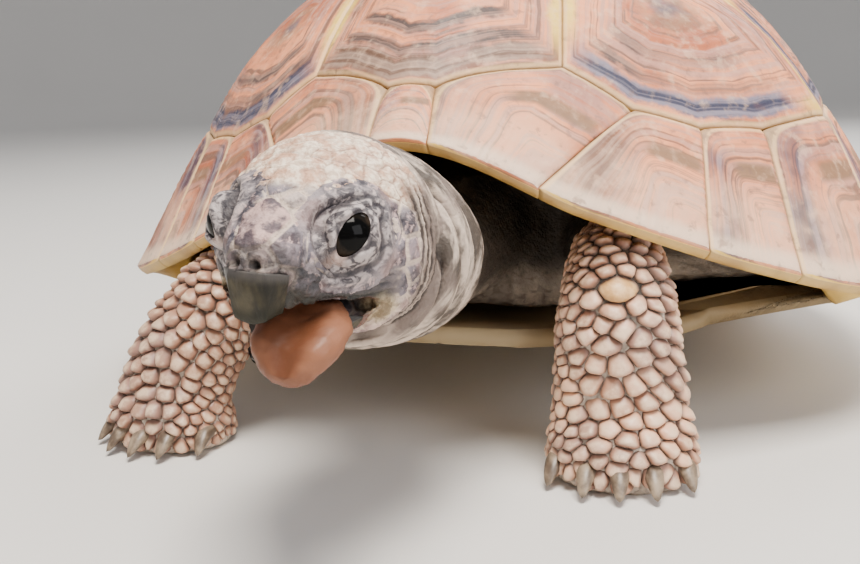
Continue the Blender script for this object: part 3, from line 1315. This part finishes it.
def limb_scales(name, rings, centres, points, normals, rule, showy=None, shade=1.0):
    """Scales on the skin of a limb: rule(share along, outward direction) gives (size, height, lift).

    showy is the place of one big ochre scale, and shade darkens the paint from 1 down to 0. Each
    scale's bake patch lies at its root's place on the limb unrolled.
    """
    rng = np.random.default_rng(len(name) + 3)
    runs = np.r_[0, np.cumsum(np.linalg.norm(np.diff(centres, axis=0), axis=1))]
    apart = np.linalg.norm(points[:, None] - centres[::2], axis=-1)
    near = apart.argmin(1) * 2
    radius = np.linalg.norm(rings - centres[:, None], axis=-1).max(1)
    ahead = unit(np.gradient(centres, axis=0))
    out = points - centres[near]
    forth = (out * ahead[near]).sum(1)
    share = runs[near] / runs[-1] + forth / runs[-1]
    out = unit(out - ahead[near] * forth[:, None])
    size, height, lift = rule(share, out)
    here = (apart.min(1) < 1.18 * radius[near] + 0.6) & (points[:, 2] > 1.6) & (size > 0)
    points, normals, near, share, out, size, height, lift = (
        row[here] for row in (points, normals, near, share, out, size, height, lift))
    if showy is not None:
        size = np.where(np.linalg.norm(points - showy, axis=1) < 2.0, SHOWY_SIZE, size)
    axis = unit(centres[-1] - centres[0])
    chosen = scale_seeds(points + np.outer(points @ axis, axis) * (SCALE_SQUAT - 1), size, rng)
    bodies, uv, level, tone, ochre = [], [], [], [], []
    for i in chosen:
        offsets = points[chosen] - points[i]
        close = np.linalg.norm(offsets, axis=1)
        close = (close > 0) & (close < 2.2 * size[i])
        cell = np.linalg.norm(points - points[i], axis=1) < 0.5 * size[i]
        normal = unit(normals[cell].mean(0))
        lie = unit(ahead[near[i]] - normal * ahead[near[i]].dot(normal))
        body, faces, body_level = domed_scale(
            points[i], normal, lie, size[chosen][close], offsets[close], size[i],
            height[i] * (1 + 0.15 * rng.standard_normal()), lift[i], radius[near[i]])
        bodies.append((body, faces))
        around = math.atan2(out[i, 0], out[i, 1]) / (2 * math.pi) + 0.5
        patch = np.array((around, np.clip(share[i], 0, 1))) * 0.96 + 0.02
        spots = patch + 0.0015 * np.stack([np.cos(np.arange(len(body))), body_level], -1)
        uv += [spots[k] for face in faces for k in face]
        level.append(body_level)
        tone += [shade * (0.15 + 0.85 * rng.random())] * len(body)
        ochre += [float(size[i] == SHOWY_SIZE)] * len(body)
    marks = {"level": np.concatenate(level), "tone": tone, "ochre": ochre}
    new_piece(name, *joined(bodies), "leg_scale", (), np.array(uv), marks)


def leg_scales(points, normals):
    for name in LEGS:
        rings, centres = leg_rings(name)
        fore = name.startswith("fore")
        side = 1 if name.endswith("left") else -1
        forward, across = sole_axes(LEGS[name][1][1])

        def rule(share, out):
            face = out @ (forward if fore else -forward)
            big = ease(face + 0.45 * side * out @ across, -0.25, 0.75)
            size = blend(*LEG_SCALE_SIZES, big) * blend(0.84, 1.12, ease(share, 0.40, 0.72))
            size = size * blend(1.0, 0.72, ease(share, 0.88, 0.96))
            size = np.where((share > 0.33) & (share < 0.985), size, 0)
            return size, blend(*LEG_SCALE_HEIGHTS, big), blend(*LEG_SCALE_LIFTS, big)

        showy = np.array(SHOWY_SCALE) * (side, 1, 1) if fore else None
        shade = DARK_LEG[1] if name == DARK_LEG[0] else 1.0
        limb_scales(f"scales_{name}", rings, centres, points, normals, rule, showy, shade)


def tail_scales(points, normals):
    rings, centres = sweep(TAIL_STATIONS, *TAIL_GRID)

    def rule(share, out):
        size = np.where((share > 0.30) & (share < 1.02), blend(*TAIL_SCALE_SIZES, share), 0)
        return size, np.full(len(share), 0.40), np.full(len(share), 0.15)

    limb_scales("scales_tail", rings, centres, points, normals, rule)
    tip = np.array(TAIL_TIP)
    root = np.array(TAIL_STATIONS[-1][0])
    stations = ((root, 2.3, 2.2, ACROSS), (0.5 * (root + tip), 1.9, 1.8, ACROSS), (tip, 0.9, 0.8, ACROSS))
    rings, centres = sweep(stations, 24, 12)
    body, faces, uv = loft(rings, centres[0], tip + 0.3 * (tip - root))
    new_piece("tail_spur", body, faces, "dark_horn", (), uv)


# ---------------------------------------------------------------- the plastron

def plastron_reach(angle):
    """The plastron's radius by angle from the front."""
    lobe = curve(np.abs(angle), LOBE_ANGLES, LOBE_RADII, True)
    edge = lip_edge(angle)
    bridge = np.hypot(edge[..., 0], edge[..., 1] - APEX_Y) - 0.5
    return blend(lobe, bridge, bridge_share(angle))


def plastron_underside(x, y):
    """The plastron's height over the floor: it curves up to the bridges."""
    angle = np.degrees(np.arctan2(x, APEX_Y - y))
    share = np.hypot(x, y - APEX_Y) / plastron_reach(angle)
    climb = lip_edge(angle)[..., 2] - FLOOR_CLEARANCE
    front = 3.0 * ease(-y, 30.0, 54.0)
    return FLOOR_CLEARANCE + bridge_share(angle) * climb * ease(share, 0.68, 1.02) + front


def plastron():
    """Each crosswise pair of plates, with a seam on the middle line and rings about each half."""
    angles = np.linspace(0, 180, 241)
    reach = plastron_reach(angles)
    outline_y = np.maximum.accumulate(APEX_Y - reach * np.cos(np.radians(angles))) + np.arange(241) * 1e-6
    outline_x = reach * np.sin(np.radians(angles))
    for index, (front, rear) in enumerate(zip(PLASTRON_SEAMS, PLASTRON_SEAMS[1:])):
        start = max(front, outline_y[0]) + 0.5 * SEAM
        stop = min(rear, outline_y[-1]) - 0.5 * SEAM
        ys = np.linspace(start, stop, max(12, int((stop - start) / 0.7)))
        half = np.maximum(np.interp(ys, outline_y, outline_x), 6.0)
        shares = np.linspace(-1, 1, PLASTRON_COLUMNS)
        x = half[:, None] * shares
        y = np.broadcast_to(ys[:, None], x.shape)
        z = plastron_underside(x, y)
        lower = np.stack([x, y, z], -1)
        depth_y = np.minimum(y - start, stop - y)
        side = np.minimum(np.abs(x), half[:, None] - np.abs(x))
        inner = np.minimum(depth_y, side) / (0.5 * (stop - start))
        t = 1 - np.clip(inner, 0, 1)
        relief = ring_relief(t, lower, 60.0 + index)[0]
        seam = 0.30 * (1 - ease(np.minimum(depth_y, np.abs(x)), 0.0, 0.7))
        lower[..., 2] += -0.6 * relief + seam
        upper = np.stack([x, y, z + PLASTRON_THICK], -1)[:, ::-1]
        body, faces, uv = loft(np.concatenate([lower, upper], 1))
        blank = np.ones(x.shape)
        marks = loft_marks(1, {"ring": (t, blank, (1, 1)),
                               "side": (np.abs(shares) * blank, blank, (0, 0))})
        name = f"plastron_{PLASTRON_NAMES[index]}"
        new_piece(name, body, faces, "plastron_horn", [name], uv, marks)


# ---------------------------------------------------------------- materials

class Paint:
    """Short names for building a shader out of nodes."""

    def __init__(self, name):
        self.material = bpy.data.materials.new(name)
        self.material.use_nodes = True
        self.tree = self.material.node_tree
        self.shader = self.tree.nodes["Principled BSDF"]
        self.place = self.tree.nodes.new("ShaderNodeTexCoord").outputs["Object"]

    def node(self, kind, inputs, **settings):
        """A new node with its settings and its inputs, which are values or other nodes' outputs."""
        made = self.tree.nodes.new(kind)
        for key, value in settings.items():
            setattr(made, key, value)
        for key, value in inputs.items():
            self.feed(made.inputs[key], value)
        return made

    def feed(self, socket, value):
        if isinstance(value, bpy.types.NodeSocket):
            self.tree.links.new(value, socket)
        elif socket.type == "RGBA":
            socket.default_value = (*value, 1.0)
        else:
            socket.default_value = value

    def marks(self, names):
        """The point attributes of the given names."""
        return [self.node("ShaderNodeAttribute", {}, attribute_name=name).outputs["Fac"]
                for name in names.split()]

    def noise(self, scale, detail=3.0, roughness=0.55, vector=None, distortion=0.0):
        inputs = {"Vector": vector or self.place, "Scale": scale, "Detail": detail,
                  "Roughness": roughness, "Distortion": distortion}
        return self.node("ShaderNodeTexNoise", inputs).outputs["Fac"]

    def stretched_noise(self, factors, detail, roughness):
        inputs = {"Vector": self.place, "Scale": factors}
        vector = self.node("ShaderNodeMapping", inputs).outputs["Vector"]
        return self.noise(1.0, detail, roughness, vector)

    def math(self, operation, first, second):
        return self.node("ShaderNodeMath", {0: first, 1: second}, operation=operation).outputs[0]

    def add(self, first, second):
        return self.math("ADD", first, second)

    def times(self, *factors):
        product = factors[0]
        for factor in factors[1:]:
            product = self.math("MULTIPLY", product, factor)
        return product

    def step(self, value, low, high, start=0.0, end=1.0):
        """Smooth step of a value from low to high."""
        inputs = {"Value": value, "From Min": low, "From Max": high, "To Min": start, "To Max": end}
        return self.node("ShaderNodeMapRange", inputs, interpolation_type="SMOOTHSTEP",
                         clamp=True).outputs[0]

    def band(self, value, start, full, fade, end):
        """1 from full to fade, 0 outside start and end."""
        return self.times(self.step(value, start, full), self.step(value, end, fade))

    def mix(self, share, first, second):
        inputs = {0: share, 6: first, 7: second}
        return self.node("ShaderNodeMix", inputs, data_type="RGBA").outputs[2]

    def ramp(self, value, low, high, first, second):
        """From the first colour to the second while the value goes from low to high."""
        return self.mix(self.step(value, low, high), first, second)

    def layers(self, colour, *coats):
        """A colour under coats of (share, colour); a share in brackets is a product of factors."""
        for share, coat in coats:
            share = self.times(*share) if isinstance(share, tuple) else share
            colour = self.mix(share, colour, coat)
        return colour

    def bump(self, height, distance):
        made = self.node("ShaderNodeBump", {"Height": height, "Distance": distance * MM, "Strength": 1.0})
        self.feed(self.shader.inputs["Normal"], made.outputs[0])

    def finish(self, prefixes, colour, roughness, **numbers):
        """Gives the paint to the pieces whose names start so; numbers are the shader's own."""
        self.feed(self.shader.inputs["Base Color"], colour)
        self.feed(self.shader.inputs["Roughness"], roughness)
        for name, value in numbers.items():
            self.shader.inputs[name.replace("_", " ")].default_value = value
        for piece in list(bpy.data.objects):
            if piece.type == "MESH" and piece.name.startswith(prefixes) and not piece.get("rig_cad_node"):
                piece.data.materials.clear()
                piece.data.materials.append(self.material)


def paint_carapace():
    paint = Paint("carapace_horn")
    step, times, band, ramp = paint.step, paint.times, paint.band, paint.ramp
    ring, phase, under, low, front, top, tint = paint.marks("ring phase under low front top tint")
    patch, broad = paint.noise(60), paint.noise(26, 2)
    rough, fine = paint.noise(190, 4, 0.65), paint.noise(520, 4)
    loose = paint.add(ring, step(rough, 0.2, 0.8, -0.030, 0.030))

    def ring_noise(scale, seed):
        """Noise that runs along the rings: it changes from ring to ring and slowly round them."""
        shift = paint.node("ShaderNodeMath", {0: tint, 1: seed}, operation="MULTIPLY_ADD").outputs[0]
        inputs = {0: times(phase, scale), 1: times(patch, 1.4), 2: shift}
        return paint.noise(1.0, 3, 0.6, paint.node("ShaderNodeCombineXYZ", inputs).outputs[0])

    plate = step(top, 0.001, 0.0)
    rim = step(top, 0.0, 0.001)
    lower_side = step(low, 0.22, 0.50)
    arcs = paint.add(band(loose, 0.47, 0.51, 0.56, 0.61), band(loose, 0.66, 0.70, 0.74, 0.79))
    bark = ramp(ring_noise(1.6, 33.0), 0.42, 0.60, (0.085, 0.055, 0.050), (0.34, 0.19, 0.14))
    bands = ring_noise(1.2, 21.0)
    slate = paint.mix(step(tint, 0.0, -0.4),
                      ramp(bands, 0.42, 0.62, (0.040, 0.042, 0.078), (0.25, 0.215, 0.275)),
                      ramp(bands, 0.40, 0.60, (0.16, 0.085, 0.055), (0.42, 0.28, 0.21)))
    colour = paint.layers(
        ramp(patch, 0.36, 0.62, (0.50, 0.135, 0.056), (0.96, 0.355, 0.165)),
        (step(ring_noise(0.8, 5.0), 0.46, 0.62, 0.0, 0.6), (0.50, 0.30, 0.26)),
        (step(ring_noise(1.1, 9.0), 0.51, 0.64, 0.0, 0.85), (0.20, 0.095, 0.060)),
        # the first shields of the big plates
        ((plate, step(ring, 0.36, 0.12, 0.0, 0.7), step(rough, 0.35, 0.6)), (0.36, 0.22, 0.13)),
        ((plate, step(ring, 0.17, 0.04), step(patch, 0.36, 0.52, 0.35, 0.9)), (0.11, 0.10, 0.14)),
        # dark arcs and the slate belt on their lower sides
        ((lower_side, arcs, step(broad, 0.34, 0.46, 0.35, 1.0)), bark),
        ((lower_side, band(loose, 0.77, 0.82, 0.92, 0.965), step(patch, 0.32, 0.44, 0.40, 1.0)), slate),
        # the rim plates: slate strip, dark bar, pale wash and pale foot
        ((step(front, 0.52, 0.80), step(patch, 0.62, 0.44, 0.35, 1.0), 0.85), slate),
        ((band(top, 0.56, 0.61, 0.68, 0.74), step(front, 0.66, 0.50), step(front, 0.0, 0.08),
          step(broad, 0.34, 0.46, 0.4, 0.9)), (0.26, 0.15, 0.08)),
        ((rim, step(patch, 0.34, 0.56, 0.0, 0.34), step(top, 0.62, 0.30)), (0.95, 0.70, 0.50)),
        ((step(top, 0.16, 0.06), rim, step(under, 0.5, 0.0), 0.8), (0.90, 0.68, 0.50)),
        # yellow seams, dust, pits and the dark gap
        ((plate, step(loose, 0.84, 0.93), step(low, 0.40, 0.10), step(patch, 0.34, 0.50, 0.4, 1.0),
          0.95), (1.0, 0.67, 0.12)),
        ((step(ring, 0.955, 0.978), 0.7), (0.92, 0.62, 0.30)),
        ((step(fine, 0.46, 0.66), step(rough, 0.42, 0.62), 0.38), (0.94, 0.62, 0.42)),
        ((step(fine, 0.46, 0.34), step(rough, 0.56, 0.40), 0.5), (0.22, 0.12, 0.09)),
        ((step(ring, 0.988, 1.0), 0.6), (0.24, 0.15, 0.09)),
        (under, ramp(patch, 0.38, 0.60, (0.42, 0.23, 0.03), (0.72, 0.48, 0.12))))
    paint.bump(paint.add(rough, fine), 0.22)
    paint.finish(("vertebral", "costal", "marginal", "supracaudal", "nuchal"), colour,
                 step(patch, 0.2, 0.8, 0.46, 0.66))


def paint_plastron():
    paint = Paint("plastron_horn")
    step = paint.step
    ring, side = paint.marks("ring side")
    patch = paint.noise(48)
    blot = (step(side, 0.16, 0.34), step(side, 0.86, 0.66), step(ring, 0.97, 0.72),
            step(patch, 0.30, 0.52), 0.85)
    colour = paint.layers(
        paint.ramp(patch, 0.35, 0.65, (0.55, 0.38, 0.17), (0.66, 0.52, 0.30)),
        (blot, (0.09, 0.065, 0.05)),
        ((step(ring, 0.97, 1.0), 0.6), (0.20, 0.13, 0.06)))
    paint.bump(paint.noise(600, 4), 0.12)
    paint.finish(("plastron",), colour, step(patch, 0.2, 0.8, 0.42, 0.62))


def paint_skin():
    paint = Paint("skin")
    step, times, ramp, layers = paint.step, paint.times, paint.ramp, paint.layers
    edge, cell, head, crown, plate, wet, fold, lid, neck = paint.marks(
        "edge cell head crown plate wet fold lid neck")
    band, rust, muzzle, brim, corner, cave, haw, pit = paint.marks(
        "band rust muzzle brim corner cave haw pit")
    broad, mottle = paint.noise(110), paint.noise(430, 5, 0.65)
    speck, flake = paint.noise(1300), paint.noise(900, 3, 0.6, None, 0.6)
    streak = paint.stretched_noise((110, 520, 110), 4, 0.62)

    scales = layers(
        ramp(mottle, 0.40, 0.60, (0.028, 0.028, 0.044), (0.23, 0.20, 0.23)),
        (step(flake, 0.54, 0.66, 0.0, 0.75), (0.66, 0.46, 0.44)),
        ((step(cell, 0.42, 0.80), step(plate, 0.6, 0.1), 0.85),
         ramp(mottle, 0.38, 0.62, (0.25, 0.19, 0.165), (0.86, 0.68, 0.56))),
        ((step(broad, 0.48, 0.62, 0.0, 0.5), step(plate, 1.0, 0.4, 0.35, 1.0)), (0.52, 0.33, 0.30)),
        ((rust, step(broad, 0.36, 0.56, 0.35, 0.85)),
         ramp(mottle, 0.42, 0.58, (0.13, 0.088, 0.098), (0.66, 0.42, 0.37))),
        ((step(edge, 0.42, 0.16), step(mottle, 0.34, 0.52, 0.25, 0.8)), (0.74, 0.59, 0.48)))
    lips = paint.mix(step(band, 0.40, 0.9), (0.22, 0.18, 0.18),
                     paint.mix(band, scales, (0.055, 0.048, 0.054)))
    top = layers(
        ramp(mottle, 0.38, 0.60, (0.68, 0.40, 0.26), (1.0, 0.84, 0.66)),
        (step(speck, 0.56, 0.42, 0.0, 0.5), (0.42, 0.24, 0.16)),
        ((step(edge, 0.22, 0.02), step(broad, 0.40, 0.56, 0.30, 0.8)), (0.24, 0.12, 0.08)))
    scales = layers(
        scales,
        (step(band, 0.0, 0.35), lips),
        ((muzzle, step(mottle, 0.66, 0.40, 0.62, 0.92)), (0.036, 0.034, 0.038)),
        ((brim, 0.9), (0.022, 0.021, 0.015)),
        (step(crown, 0.15, 0.85), top),
        ((corner, 0.9), ramp(mottle, 0.38, 0.60, (0.24, 0.17, 0.09), (0.68, 0.55, 0.34))))

    ribbons = layers(
        ramp(streak, 0.42, 0.60, (0.075, 0.058, 0.046), (0.66, 0.53, 0.43)),
        (step(broad, 0.44, 0.60, 0.0, 0.6), (0.27, 0.20, 0.17)),
        (step(fold, 0.66, 0.20), (0.045, 0.032, 0.026)))
    hide = layers(
        ramp(broad, 0.35, 0.65, (0.38, 0.31, 0.25), (0.68, 0.56, 0.45)),
        (step(mottle, 0.48, 0.66, 0.0, 0.6), (0.74, 0.62, 0.50)),
        (step(edge, 0.35, 0.0, 0.0, 0.6), (0.09, 0.07, 0.06)),
        ((cave, 0.93), (0.020, 0.013, 0.007)))
    eye_ring = layers(
        ramp(flake, 0.40, 0.58, (0.055, 0.048, 0.055), (0.44, 0.38, 0.37)),
        (step(fold, 0.42, 0.05, 0.0, 0.85), (0.022, 0.018, 0.024)))
    colour = layers(
        hide,
        (head, scales),
        (neck, ribbons),
        (step(lid, 0.25, 0.9), eye_ring),
        ((haw, 0.9), (0.55, 0.40, 0.35)),
        (wet, ramp(mottle, 0.3, 0.7, (0.05, 0.02, 0.015), (0.17, 0.07, 0.045))),
        (pit, (0.015, 0.010, 0.008)))
    paint.bump(paint.add(times(mottle, 0.9), speck), 0.36)
    paint.finish(("skin",), colour, step(paint.math("MAXIMUM", wet, haw), 0.0, 1.0, 0.58, 0.22))


def paint_leg_scales():
    paint = Paint("leg_scale")
    step, ramp = paint.step, paint.ramp
    level, tone, ochre = paint.marks("level tone ochre")
    broad, mottle = paint.noise(80), paint.noise(500, 4)
    colour = paint.layers(
        ramp(tone, 0.1, 0.9, (0.36, 0.165, 0.10), (0.86, 0.50, 0.32)),
        (step(broad, 0.42, 0.62, 0.0, 0.6), (0.28, 0.17, 0.15)),
        ((step(level, 0.60, 1.0), step(mottle, 0.36, 0.60, 0.2, 0.8)), (0.86, 0.64, 0.44)),
        (ochre, ramp(mottle, 0.35, 0.65, (0.60, 0.32, 0.11), (0.82, 0.52, 0.24))),
        (step(level, 0.68, 0.18), (0.23, 0.150, 0.118)))
    paint.bump(mottle, 0.14)
    paint.finish(("scales_",), colour, step(broad, 0.2, 0.8, 0.34, 0.50))


def paint_horn():
    paint = Paint("dark_horn")
    step = paint.step
    level, = paint.marks("level")
    streaks = paint.stretched_noise((700, 700, 220), 4, 0.6)
    patch = paint.noise(210, 4)
    colour = paint.layers(
        paint.ramp(streaks, 0.34, 0.66, (0.008, 0.007, 0.004), (0.034, 0.028, 0.014)),
        (step(patch, 0.46, 0.62, 0.0, 0.6), (0.090, 0.076, 0.046)),
        (step(level, 0.42, 0.10, 0.0, 0.75), (0.007, 0.008, 0.004)),
        (step(level, 0.72, 1.0, 0.0, 0.7), (0.085, 0.078, 0.078)))
    paint.bump(paint.add(streaks, patch), 0.20)
    paint.finish(("beak", "lower_beak"), colour, step(patch, 0.2, 0.8, 0.36, 0.55),
                 Specular_IOR_Level=0.25)


def paint_claws():
    paint = Paint("claw_horn")
    streaks = paint.stretched_noise((500, 120, 500), 3, 0.6)
    paint.bump(streaks, 0.08)
    paint.finish(("claws_", "tail_spur"),
                 paint.ramp(streaks, 0.3, 0.7, (0.10, 0.07, 0.05), (0.34, 0.26, 0.18)),
                 paint.step(streaks, 0.2, 0.8, 0.30, 0.45))


def paint_eyes():
    paint = Paint("eye")
    front, = paint.marks("front")
    grain = paint.noise(900)
    iris = paint.ramp(grain, 0.35, 0.65, (0.006, 0.005, 0.004), (0.022, 0.015, 0.010))
    paint.finish(("eyeball",), paint.ramp(front, 0.80, 0.86, iris, (0.002, 0.002, 0.002)),
                 paint.step(grain, 0.3, 0.7, 0.06, 0.12), Specular_IOR_Level=0.09)


def paint_tongue():
    paint = Paint("tongue")
    step = paint.step
    hollow, = paint.marks("hollow")
    patch, buds, depth = paint.noise(140), paint.noise(1100, 2), paint.noise(60, 1)
    colour = paint.layers(
        paint.ramp(patch, 0.38, 0.62, (0.185, 0.070, 0.034), (0.35, 0.15, 0.080)),
        (step(depth, 0.42, 0.60, 0.0, 0.5), (0.17, 0.065, 0.035)),
        (step(hollow, 0.15, 0.85, 0.0, 0.85), (0.125, 0.042, 0.018)))
    paint.bump(buds, 0.08)
    paint.finish(("tongue_flesh",), colour, step(patch, 0.2, 0.8, 0.42, 0.56),
                 Specular_IOR_Level=0.26, Subsurface_Weight=0.12,
                 Subsurface_Radius=(0.002, 0.0008, 0.0005), Coat_Weight=0.06, Coat_Roughness=0.12)


# ---------------------------------------------------------------- stage, light and camera

def stage_floor():
    """A pale floor that rises into a wall all round."""
    profile = [(0.3, 0.0), (0.9, 0.0), (1.5, 0.0)]
    profile += [(1.5 + 0.8 * math.sin(a), 0.8 - 0.8 * math.cos(a)) for a in np.linspace(0.1, 1.45, 14)]
    profile.append((2.35, 1.3))
    count = FLOOR_SEGMENTS
    points = [(r * math.cos(a), r * math.sin(a), z) for r, z in profile for a in full_turn(count)]
    points.append((0, 0, 0))
    faces = [(row * count + k, row * count + (k + 1) % count, (row + 1) * count + (k + 1) % count,
              (row + 1) * count + k) for row in range(len(profile) - 1) for k in range(count)]
    faces += [((k + 1) % count, k, len(points) - 1) for k in range(count)]
    mesh = bpy.data.meshes.new("floor")
    mesh.from_pydata(points, [], faces)
    mesh.shade_smooth()
    piece = place_object("floor", mesh)
    paint = Paint("floor_paint")
    colour = paint.mix(paint.noise(3.0), (0.74, 0.72, 0.69), (0.80, 0.78, 0.75))
    paint.finish(("floor",), colour, 0.85)


def stage_lights():
    world = bpy.data.worlds.new("studio")
    bpy.context.scene.world = world
    world.use_nodes = True
    sky = world.node_tree.nodes["Background"]
    sky.inputs["Color"].default_value = (*SKY_COLOUR, 1)
    sky.inputs["Strength"].default_value = SKY_STRENGTH
    for name, at, aim, size, watts, colour in LAMPS:
        data = bpy.data.lights.new(name, "AREA")
        data.size = size
        data.energy = watts
        data.color = colour
        lamp = place_object(name, data)
        lamp.location = at
        lamp.rotation_euler = (Vector(aim) - Vector(at)).to_track_quat("-Z", "Y").to_euler()


def camera():
    data = bpy.data.cameras.new("camera")
    data.lens = CAMERA_LENS
    data.sensor_width = SENSOR_WIDTH
    data.clip_start = 0.005
    eye = place_object("camera", data)
    yaw, pitch, roll = (math.radians(angle) for angle in CAMERA_TURN)
    ahead = Vector((-math.sin(yaw) * math.cos(pitch), math.cos(yaw) * math.cos(pitch), -math.sin(pitch)))
    right = ahead.cross(Vector((0, 0, 1))).normalized()
    up = right.cross(ahead)
    tilted_right = right * math.cos(roll) + up * math.sin(roll)
    tilted_up = up * math.cos(roll) - right * math.sin(roll)
    frame_axes = Matrix((tilted_right, tilted_up, -ahead)).transposed().to_4x4()
    frame_axes.translation = Vector(to_world(CAMERA_AT))
    eye.matrix_world = frame_axes
    bpy.context.scene.camera = eye


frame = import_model()
stage_floor()
stage_lights()
camera()
carapace()
plastron()
coat_base = skin()
eyes()
beak()
tongue()
claws()
leg_scales(*coat_base)
tail_scales(*coat_base)
paint_carapace()
paint_plastron()
paint_skin()
paint_leg_scales()
paint_horn()
paint_claws()
paint_eyes()
paint_tongue()
